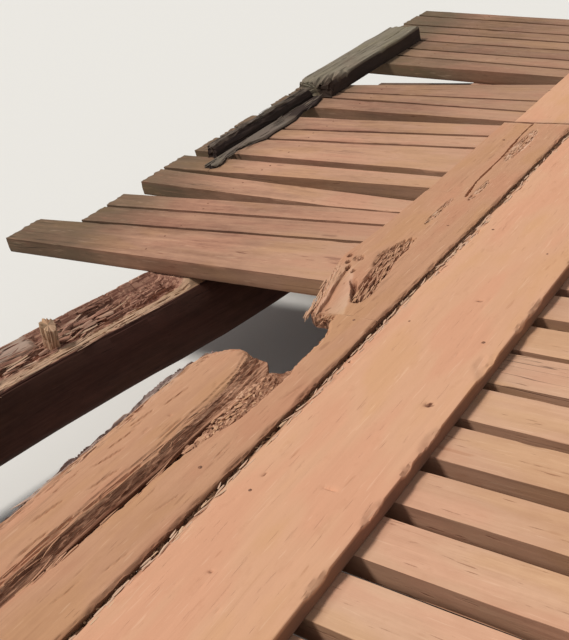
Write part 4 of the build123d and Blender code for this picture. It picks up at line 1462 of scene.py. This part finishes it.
class BRIDGE_OT_logs(bpy.types.Operator):
    """Makes the long logs and the bank logs"""

    bl_idname = "bridge.logs"
    bl_label = "Logs"

    def execute(self, context):
        seat_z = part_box("sill_log_near")[1][2]
        far_sill_y = abs(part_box("sill_log_far")[0][1])
        for number, node in enumerate((
            "stringer_log_left_outer", "stringer_log_left_inner", "stringer_log_right_inner",
            "stringer_log_right_outer",
        )):
            shell = Shell()
            low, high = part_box(node)
            middle = (low[0] + high[0]) / 2
            rotten = node == "stringer_log_left_outer"
            seat = (seat_z, high[1] - far_sill_y + LOG_SEAT_MARGIN)
            if rotten:
                places = stations(low[1], high[1], fine=0.0055, coarse=0.06, spans=[(-1.3, 0.42)])
                angles = log_angles(84, 26)
                slope = SKEWED_LOG_SHIFT / high[1]
                radii = (SKEWED_LOG_RADIUS * (1 + slope**2) ** 0.5,) * 2
                shift = SKEWED_LOG_SHIFT
            else:
                places = stations(low[1], high[1], fine=0.06, coarse=0.06)
                angles = log_angles(14, 22)
                butt, tip = LOG_RADII
                radii = (tip, butt) if node == "stringer_log_right_inner" else (butt, tip)
                shift = 0.0
            log(shell, places, shift, radii, LOG_AXIS_Z, DECK_BOTTOM, seat, angles, 351 + 10 * number,
                rotten_log_relief if rotten else None, rotten_log_paint if rotten else log_paint)
            if rotten:
                self.fibres(shell, slope)
            for points in shell.points:
                points[:, 0] += middle
            shell.piece(f"{node}_wood", [node], "rotten_log_wood" if rotten else "log_wood",
                        "rotten_wood" if rotten else "long_log")
        for number, node in enumerate(("sill_log_near", "sill_log_far")):
            shell = Shell()
            low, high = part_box(node)
            radius = (high[1] - low[1]) / 2
            axis_z = (radius**2 - SILL_FOOT_HALF**2) ** 0.5
            places = stations(low[0], high[0], fine=0.06, coarse=0.06)
            log(shell, places, 0.0, (radius, radius), axis_z, high[2], (0.0, high[0] - low[0]),
                log_angles(14, 22), seed=391 + 5 * number, along_x=True)
            for points in shell.points:
                points[:, 1] += (low[1] + high[1]) / 2
            shell.piece(f"{node}_wood", [node], "log_wood", "bank_log")
        return {"FINISHED"}

    def fibres(self, shell, slope):
        """Broken bars in the hollow, splinters along both rims, and the upright stub."""
        rng = np.random.default_rng(381)

        def lay(count, across, along, height, spread, tilt=0.0, **look):
            feet, headings = scatter(rng, count, across, along, height, spread, tilt)
            headings[:, 0] += (slope + FIBRE_TURN) * headings[:, 1]
            feet[:, 0] += slope * feet[:, 1] + crook(feet[:, 1])
            slivers(shell, feet, headings, **look)

        lay(20, (-0.075, 0.07), (-1.0, 0.1), (0.548, 0.566), spread=0.2, tilt=0.02,
            length=0.16, width=0.018, seed=382, tint=0.5, wear=(0.5, 0.2, 0, 0.1))
        lay(24, (-0.07, 0.075), (-1.0, 0.14), (0.55, 0.57), spread=0.35, tilt=0.04,
            length=0.1, width=0.013, lift=0.02, seed=385, tint=0.9, wear=(0.15, 0.5, 0.5, 0))
        lay(150, (-0.07, 0.08), (-1.02, 0.14), (0.545, 0.572), spread=0.35, tilt=0.04,
            length=0.05, width=0.008, lift=0.02, seed=386, tint=0.8, wear=(0.5, 0.1, 0.2, 0))
        lay(90, (0.095, 0.138), (-1.05, 0.2), (0.548, 0.556), spread=0.06,
            length=0.12, width=0.009, seed=383, tint=0.9, wear=(0.1, 0.3, 0.6, 0))
        lay(60, (-0.092, -0.066), (-1.0, 0.12), (0.562, 0.584), spread=0.05,
            length=0.06, width=0.012, seed=387, tint=0.3, wear=(0.45, 0.3, 0, 0.3))
        lay(30, (-0.05, 0.06), (-0.95, 0.1), (0.556, 0.574), spread=0.25, tilt=0.02,
            length=0.08, width=0.018, seed=388, tint=0.7, wear=(0.4, 0.4, 0.2, 0))
        stub(shell, (slope * STUB_Y + crook(STUB_Y) + STUB_ACROSS, STUB_Y), 384)


class BRIDGE_OT_planks(bpy.types.Operator):
    """Makes the deck planks over the solids of each plank node"""

    bl_idname = "bridge.planks"
    bl_label = "Deck planks"

    def execute(self, context):
        settings = context.scene.bridge_settings
        for number, node in enumerate(sorted(PLANK_NODES)):
            if "stump" in node:
                continue
            shell = Shell()
            close = node.startswith("left_plank_")
            fine = node.startswith("left_planks") or node == "centre_planks_2"
            count, *cuts = (130, 26, 4, 3) if close else (70, 14, 3, 2) if fine else (26, 6, 2, 1)
            for place, (near, far) in enumerate(cad_planks(node)):
                seed = 1000 + 97 * number + 7 * place
                left_end = 0.016 if near[0][0] < -2 else 0.004
                near, far = resample(near, count), resample(far, count)
                if node.startswith("left_plank") and "near" not in node:
                    near[:, 1] += PLANK_EDGE_WEAR
                    far[:, 1] -= PLANK_EDGE_WEAR
                timber(
                    shell, near, far, DECK_BOTTOM, DECK_TOP, seed, cuts,
                    corner=settings.edge_radius, chip=0.0036, ragged=(left_end, 0.004),
                    grooves=settings.grain_depth, paint=plank_paint, tint=PLANK_TINTS.get(node),
                )
            finish = "left_plank_wood" if node.startswith("left_plank") else "plank_wood"
            shell.piece(f"{node}_wood", [node], finish, "deck_plank")
        return {"FINISHED"}


class BRIDGE_OT_stumps(bpy.types.Operator):
    """Makes the stumps of the rotten planks, and the rotten bed that fills the split"""

    bl_idname = "bridge.stumps"
    bl_label = "Rotten plank stumps"

    def execute(self, context):
        shell = Shell()
        low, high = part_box("rotten_plank_stumps")
        for place, (near, far) in enumerate(cad_planks("rotten_plank_stumps")):
            near = [(near[0][0] + 0.004 * (-1) ** place, near[0][1]), (high[0], near[-1][1])]
            far = [(near[0][0] + 0.02, far[-1][1]), (high[0], far[-1][1])]
            near, far = resample(near, 36), resample(far, 36)
            timber(
                shell, near, far, DECK_BOTTOM, DECK_TOP, seed=401 + place, cuts=(20, 4, 2),
                corner=0.006, chip=0.004, ragged=(0.02, 0.004), grooves=0.002,
                relief=stump_relief, paint=stump_paint,
            )
        span = (low[1], BED_END_Y)
        places = stations(low[1] - 0.1, BED_END_Y, fine=0.007, coarse=0.03, spans=[span])
        near, far = lengthwise(places, BED_OUTER, BED_INNER_X)
        timber(
            shell, near, far, DECK_BOTTOM + 0.012, DECK_TOP - 0.002, seed=421, cuts=(34, 4, 2),
            corner=0.006, chip=0.004, ragged=(0.01, 0.02), grooves=0.002,
            relief=bed_relief, paint=bed_paint,
        )
        shell.piece("rotten_stumps", ["rotten_plank_stumps"], "rotten_wood", "rotten_wood")
        return {"FINISHED"}


class BRIDGE_OT_split_board(bpy.types.Operator):
    """Makes the outer left runner before the hole: two strips with the split between them"""

    bl_idname = "bridge.split_board"
    bl_label = "Split runner board"

    def execute(self, context):
        shell = Shell()
        low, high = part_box("runner_left_outer_near")
        span = (VISIBLE_Y[0], 0.0)
        places = stations(low[1], TIP_Y - 0.003, fine=0.0046, coarse=0.08, spans=[span])
        near, far = lengthwise(places, OUTER_BOARD_EDGE, STRIP_FOOT)
        timber(
            shell, near, far, DECK_TOP, RUNNER_TOP, seed=301, cuts=(66, 6, 3), corner=0.003,
            chip=0.0018, ragged=(0.01, 0.006), grooves=RUNNER_GROOVES, relief=outer_strip_relief,
            paint=outer_strip_paint, tint=0.6, grain_shift=OUTER_GRAIN,
        )
        span = (VISIBLE_Y[0], 0.2)
        places = stations(low[1], high[1] + 0.006, fine=0.0046, coarse=0.08, spans=[span])
        near, far = lengthwise(places, INNER_LIP, CRACK_X)
        timber(
            shell, near, far, DECK_TOP, RUNNER_TOP, seed=302, cuts=(60, 6, 3), corner=0.003,
            chip=0.0018, ragged=(0.01, 0.0), grooves=RUNNER_GROOVES, relief=inner_strip_relief,
            paint=inner_strip_paint, tint=0.55, grain_shift=OUTER_GRAIN,
        )
        flakes = Shell()
        places = stations(LEDGE[0][1], LEDGE[-1][1], fine=0.004, coarse=0.02, spans=[(-1.05, -0.18)])
        board_side = [(-1.322, -1.05), (-1.322, -0.3), (-1.3, -0.2), (-1.285, -0.18)]
        near, far = lengthwise(places, LEDGE, board_side)
        near[:, 0] += 0.012 * rough(places * 9, 0 * places, 310)
        timber(
            flakes, near, far, DECK_TOP, DECK_TOP + LEDGE_HEIGHT, seed=309, cuts=(16, 4, 2),
            corner=0.003, chip=0.002, ragged=(0.03, 0.01), grooves=0.001,
            relief=ledge_relief, paint=ledge_paint,
        )
        rng = np.random.default_rng(303)
        strew(shell, rng, INNER_LIP, 60, (0.0, 0.02), (-1.5, -0.7), (0.69, 0.6995), spread=0.04,
              length=0.07, width=0.0055, seed=304, tint=0.85, wear=(0.1, 0.1, 0.5, 0))
        strew(shell, rng, OUTER_LIP, 60, (-0.028, 0.0), (-1.5, -0.45), (0.686, 0.7), spread=0.05,
              length=0.09, width=0.004, seed=305, tint=0.7, wear=(0.1, 0.0, 0.6, 0))
        for count, spread, *look in CRUMBS:
            feet, headings = scatter(rng, count, (0.05, 1.0), (-0.62, -0.275), (0.686, 0.695), spread)
            inner, outer = across_of(CRUMB_BORDER, feet[:, 1]), across_of(INNER_LIP, feet[:, 1])
            feet[:, 0] = outer + (inner - outer) * feet[:, 0]
            slivers(shell, feet, headings, *look)
        strew(shell, rng, OUTER_BOARD_EDGE, 60, (0.004, 0.04), (-0.8, -0.35), (0.6965, 0.7005),
              spread=0.1, length=0.05, width=0.005, seed=316, tint=0.9, wear=(0.0, 0.6, 0.3, 0))
        strew(flakes, rng, OUTER_BOARD_EDGE, 90, (-0.026, 0.004), (-0.95, -0.34), (0.664, 0.688),
              spread=0.05, length=0.07, width=0.008, seed=308, tint=0.8, wear=(0.0, 0.5, 0.5, 0))
        flakes.piece("flaked_edge", [], "flaked_wood", "runner_board")
        shell.piece("split_runner_board", ["runner_left_outer_near"], "outer_runner_wood", "runner_board")
        return {"FINISHED"}


class BRIDGE_OT_nosed_board(bpy.types.Operator):
    """Makes the outer left runner beyond the hole, with its broken nose and long check"""

    bl_idname = "bridge.nosed_board"
    bl_label = "Nosed runner board"

    def execute(self, context):
        shell = Shell()
        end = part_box("runner_left_outer_middle")[1][1]
        places = stations(0.06, end, fine=0.0048, coarse=0.02, spans=[(0.0, 1.7)])
        inner = [(-1.034, 0.0), (-1.03, 0.092), (CRACK_X, 0.097), (CRACK_X, 1.8)]
        near, far = lengthwise(places, NOSE_EDGE, inner)
        timber(
            shell, near, far, DECK_TOP, RUNNER_TOP, seed=311, cuts=(88, 7, 3), corner=0.003,
            chip=0.0022, ragged=(0.012, 0.003), grooves=RUNNER_GROOVES, relief=nose_relief,
            paint=nose_paint, tint=0.55, grain_shift=OUTER_GRAIN,
        )
        rng = np.random.default_rng(312)
        feet, headings = scatter(rng, 50, (-0.046, -0.008), (0.09, 0.34), (0.694, 0.6995), 0.05)
        feet[:, 0] += across_of(WEDGE_LEFT, feet[:, 1])
        headings[:, 0] -= 0.35 * headings[:, 1]
        slivers(shell, feet, headings, length=0.07, width=0.0065, seed=314, tint=0.9,
                wear=(0.0, 0.4, 0.4, 0))
        feet, headings = scatter(rng, 110, (-0.9, 0.9), (0.19, 0.61), (0.694, 0.6995), 0.1)
        feet[:, 0] = across_of(STRIPE, feet[:, 1]) + feet[:, 0] * across_of(STRIPE_HALF, feet[:, 1])
        headings[:, 0] -= 0.2 * headings[:, 1]
        slivers(shell, feet, headings, length=0.04, width=0.0048, seed=313, tint=0.9,
                wear=(0.1, 0.2, 0.6, 0))
        strew(shell, rng, None, 40, (-1.11, -1.04), (0.062, 0.12), (0.676, 0.694), spread=0.5, tilt=0.1,
              length=0.022, width=0.007, lift=0.02, seed=316, tint=0.8, wear=(0.3, 0.1, 0.3, 0))
        for k, (((cx, cy), (wide, long)), count) in enumerate(zip(FLAKES, FLAKE_CHIPS)):
            x, y = (cx - 0.7 * wide, cx + 0.7 * wide), (cy - 0.8 * long, cy + 0.8 * long)
            strew(shell, rng, None, count, x, y, (0.697, 0.7012), spread=0.18, tilt=0.01,
                  length=0.034, width=0.0045, seed=318 + k, tint=1.0, wear=(0.0, 0.45, 0.5, 0))
        shell.piece("nosed_runner_board", ["runner_left_outer_middle"], "outer_runner_wood", "runner_board")
        return {"FINISHED"}


class BRIDGE_OT_runner_boards(bpy.types.Operator):
    """Makes the sound runner boards"""

    bl_idname = "bridge.runner_boards"
    bl_label = "Runner boards"

    def execute(self, context):
        for number, node in enumerate((
            "runner_left_inner_far", "runner_left_inner_near", "runner_left_outer_far",
            "runner_right_inner_near", "runner_right_inner_far", "runner_right_outer_near",
            "runner_right_outer_far",
        )):
            shell = Shell()
            low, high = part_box(node)
            in_view = node == "runner_left_inner_far"
            spans = [(-1.35, 1.2)] if in_view else []
            places = stations(low[1], high[1], fine=0.0075, coarse=0.05, spans=spans)
            near, far = lengthwise(places, low[0], high[0])
            cuts = (60, 4, 3) if in_view else (12, 3, 2)
            timber(
                shell, near, far, DECK_TOP, RUNNER_TOP, 321 + number, cuts, corner=0.003,
                chip=0.0022, ragged=(0.004, 0.004), grooves=RUNNER_GROOVES,
                relief=inner_board_relief if in_view else None,
                paint=inner_board_paint if in_view else board_paint,
            )
            shell.piece(f"{node}_wood", [node], "runner_wood", "runner_board")
        return {"FINISHED"}


class BRIDGE_OT_crack_soil(bpy.types.Operator):
    """Makes the soil and chips packed between the two left runner boards"""

    bl_idname = "bridge.crack_soil"
    bl_label = "Soil in the crack"

    def execute(self, context):
        shell = Shell()
        low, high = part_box("runner_left_outer_near")
        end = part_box("runner_left_outer_far")[1][1]
        places = stations(low[1] + 0.01, end - 0.01, fine=0.008, coarse=0.06, spans=[VISIBLE_Y])
        left, right = high[0] + 0.0005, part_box("runner_left_inner_far")[0][0] - 0.0005
        near, far = lengthwise(places, left, right)
        timber(
            shell, near, far, DECK_TOP, RUNNER_TOP - 0.006, seed=601, cuts=(8, 2, 2), corner=0.003,
            chip=0.001, ragged=(0.003, 0.003), grooves=0.001, relief=crack_relief,
        )
        rng = np.random.default_rng(602)
        strew(shell, rng, None, 260, (left, right), (-1.35, 1.6), (0.68, 0.692), spread=1.2, tilt=0.05,
              length=0.014, width=0.005, lift=0.05, seed=604, tint=0.1, wear=(0, 0, 0.1, 1))
        shell.piece("crack_soil", [], "soil", "runner_board")
        chips = Shell()
        strew(chips, rng, None, 240, (right - 0.003, right + 0.018), (-1.35, 1.75), (0.6975, 0.7015),
              spread=0.12, length=0.04, width=0.0058, seed=603, tint=1.0, wear=(0.0, 0.95, 0.0, 0))
        chips.piece("crack_chips", [], "outer_runner_wood", "runner_board")
        return {"FINISHED"}


class BRIDGE_OT_kerbs(bpy.types.Operator):
    """Makes the kerbs, with the rotten stretch on the left"""

    bl_idname = "bridge.kerbs"
    bl_label = "Kerbs"

    def execute(self, context):
        for number, node in enumerate((
            "kerb_left_far", "kerb_left_near", "kerb_right_near", "kerb_right_far",
            "kerb_left_rotten_rim", "kerb_left_rotten_scab",
        )):
            shell = Shell()
            low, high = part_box(node)
            rotten = "rotten" in node
            in_view = rotten or node == "kerb_left_far"
            pace = 0.008 if in_view else 0.04
            places = stations(low[1], high[1], fine=pace, coarse=0.04, spans=[(low[1], high[1])])
            right = SCAB_EDGE if node == "kerb_left_rotten_scab" else high[0]
            near, far = lengthwise(places, low[0], right)
            cuts = (28, 7, 3) if node == "kerb_left_far" else (20, 7, 3) if rotten else (10, 3, 2)
            timber(
                shell, near, far, DECK_TOP, high[2], 501 + 13 * number, cuts, corner=0.01,
                chip=0.01, ragged=(0.035, 0.012), grooves=0.002,
                relief=rotten_kerb_relief if rotten else kerb_relief,
                paint=rotten_kerb_paint if rotten else kerb_paint,
            )
            if rotten:
                rng = np.random.default_rng(560 + number)
                x, y = (low[0] + 0.01, high[0] - 0.02), (low[1] + 0.05, high[1] - 0.05)
                strew(shell, rng, None, 60, x, y, (high[2] - 0.014, high[2] - 0.006), spread=0.08,
                      length=0.1, width=0.006, seed=561 + number, tint=0.6, wear=(0.05, 0.8, 0, 0.2))
            finish, slot = ("rotten_kerb_wood", "rotten_wood") if rotten else ("kerb_wood", "kerb_timber")
            shell.piece(f"{node}_wood", [node], finish, slot)
        return {"FINISHED"}


def in_damage(place):
    """True where the left runner is split, broken or gone."""
    x, y = place[:2]
    return x < -1.0 and -1.3 < y < 0.8


class BRIDGE_OT_nails(bpy.types.Operator):
    """Makes the nail heads over the logs and in the runner boards"""

    bl_idname = "bridge.nails"
    bl_label = "Nails"

    def execute(self, context):
        shell = Shell()
        rng = np.random.default_rng(701)
        heads = []
        for node in sorted(PLANK_NODES):
            if "stump" in node:
                continue
            for near, far in cad_planks(node):
                low_x, high_x = near[0][0], near[-1][0]
                for x in LOG_LINES:
                    if not low_x + 0.02 < x < high_x - 0.02:
                        continue
                    share = (x - low_x) / (high_x - low_x)
                    y0 = near[0][1] * (1 - share) + near[-1][1] * share
                    y1 = far[0][1] * (1 - share) + far[-1][1] * share
                    for inset in (0.28, 0.72):
                        jog = rng.normal(0, 0.008, 2)
                        heads.append((x + jog[0], y0 + (y1 - y0) * inset + jog[1], DECK_TOP - 0.0022))
        nail_heads(shell, heads)
        spikes = []
        for x in RUNNER_NAIL_LINES:
            for y in np.arange(*SPIKE_ROWS):
                jog = rng.normal(0, 0.012, 2)
                spikes.append((x + jog[0], y + 4 * jog[1], RUNNER_TOP - 0.0032))
        spikes = [spike for spike in spikes if not in_damage(spike)]
        nail_heads(shell, spikes, radius=0.0075, height=0.0028)
        shell.piece("nails", [], "rusty_iron", "runner_board")
        return {"FINISHED"}


class BRIDGE_OT_stage(bpy.types.Operator):
    """Makes the floor, the lights and the camera at the photograph's place"""

    bl_idname = "bridge.stage"
    bl_label = "Floor, lights and camera"

    def execute(self, context):
        settings = context.scene.bridge_settings
        scene = context.scene
        mesh = bpy.data.meshes.new("floor")
        signs = ((-1, -1), (1, -1), (1, 1), (-1, 1))
        corners = [(a * FLOOR_HALF, b * FLOOR_HALF, 0) for a, b in signs]
        mesh.from_pydata(corners, [], [(0, 1, 2, 3)])
        floor = bpy.data.objects.new("floor", mesh)
        scene.collection.objects.link(floor)
        paper = bpy.data.materials.new("floor_paper")
        f = Finish(paper)
        look = {"Base Color": srgb(*FLOOR_TONE), "Roughness": 0.9}
        shade = f.add("ShaderNodeBsdfPrincipled", {}, look, "BSDF")
        f.add("ShaderNodeOutputMaterial", {}, {"Surface": shade})
        mesh.materials.append(paper)
        scene.world = bpy.data.worlds.new("studio")
        f = Finish(scene.world)
        camera_ray = f.add("ShaderNodeLightPath", {}, {}, "Is Camera Ray")
        seen = camera_ray
        for kind in ("Is Glossy Ray", "Is Transmission Ray"):
            seen = seen.sum("MAXIMUM", seen, camera_ray.other(kind))
        fill = f.add("ShaderNodeBackground", {}, {"Color": FILL_COLOUR, "Strength": settings.fill_strength})
        shown = f.add("ShaderNodeBackground", {}, {"Color": BACKGROUND_COLOUR, "Strength": 1.0})
        mix = f.add("ShaderNodeMixShader", {}, {0: seen, 1: fill, 2: shown})
        f.add("ShaderNodeOutputWorld", {}, {"Surface": mix})
        sun = bpy.data.lights.new("key_light", "SUN")
        sun.energy = settings.sun_strength
        sun.angle = math.radians(SUN_SPREAD_DEGREES)
        sun.color = SUN_COLOUR
        lamp = bpy.data.objects.new("key_light", sun)
        lamp.rotation_euler = Vector(SUN_TOWARDS).to_track_quat("-Z", "Y").to_euler()
        scene.collection.objects.link(lamp)
        lens = bpy.data.cameras.new("photo_camera")
        lens.sensor_width = SENSOR
        lens.lens = FOCAL_PIXELS / PHOTO_HEIGHT * SENSOR
        lens.clip_end = CLIP_END
        camera = bpy.data.objects.new("photo_camera", lens)
        right, down, forward = [Vector(v).normalized() for v in (CAMERA_RIGHT, CAMERA_DOWN, CAMERA_FORWARD)]
        turn = Matrix((right, -down, -forward)).transposed()
        place = Vector((CAMERA_X, CAMERA_Y, RUNNER_TOP + CAMERA_HEIGHT))
        camera.matrix_world = Matrix.Translation(place) @ turn.to_4x4()
        scene.collection.objects.link(camera)
        scene.camera = camera
        scene.view_settings.view_transform = "Standard"
        return {"FINISHED"}


class BRIDGE_PT_panel(bpy.types.Panel):
    """Lists the bridge's pieces and settings"""

    bl_idname = "BRIDGE_PT_panel"
    bl_label = "Plank bridge"
    bl_space_type = "VIEW_3D"
    bl_region_type = "UI"
    bl_category = "Bridge"

    def draw(self, context):
        settings = context.scene.bridge_settings
        for name in BridgeSettings.__annotations__:
            self.layout.prop(settings, name)
        for operator in OPERATORS:
            self.layout.operator(operator.bl_idname)


OPERATORS = (BRIDGE_OT_finishes, BRIDGE_OT_logs, BRIDGE_OT_planks, BRIDGE_OT_stumps, BRIDGE_OT_split_board,
             BRIDGE_OT_nosed_board, BRIDGE_OT_runner_boards, BRIDGE_OT_crack_soil, BRIDGE_OT_kerbs,
             BRIDGE_OT_nails, BRIDGE_OT_stage)
CLASSES = (BridgeSettings, *OPERATORS, BRIDGE_PT_panel)


def register():
    for entry in CLASSES:
        bpy.utils.register_class(entry)
    bpy.types.Scene.bridge_settings = PointerProperty(type=BridgeSettings)


def unregister():
    del bpy.types.Scene.bridge_settings
    for entry in reversed(CLASSES):
        bpy.utils.unregister_class(entry)


def main():
    register()
    bpy.ops.bridge.finishes()
    bpy.ops.bridge.logs()
    bpy.ops.bridge.planks()
    bpy.ops.bridge.stumps()
    bpy.ops.bridge.split_board()
    bpy.ops.bridge.nosed_board()
    bpy.ops.bridge.runner_boards()
    bpy.ops.bridge.crack_soil()
    bpy.ops.bridge.kerbs()
    bpy.ops.bridge.nails()
    bpy.ops.bridge.stage()


if __name__ == "__main__":
    main()
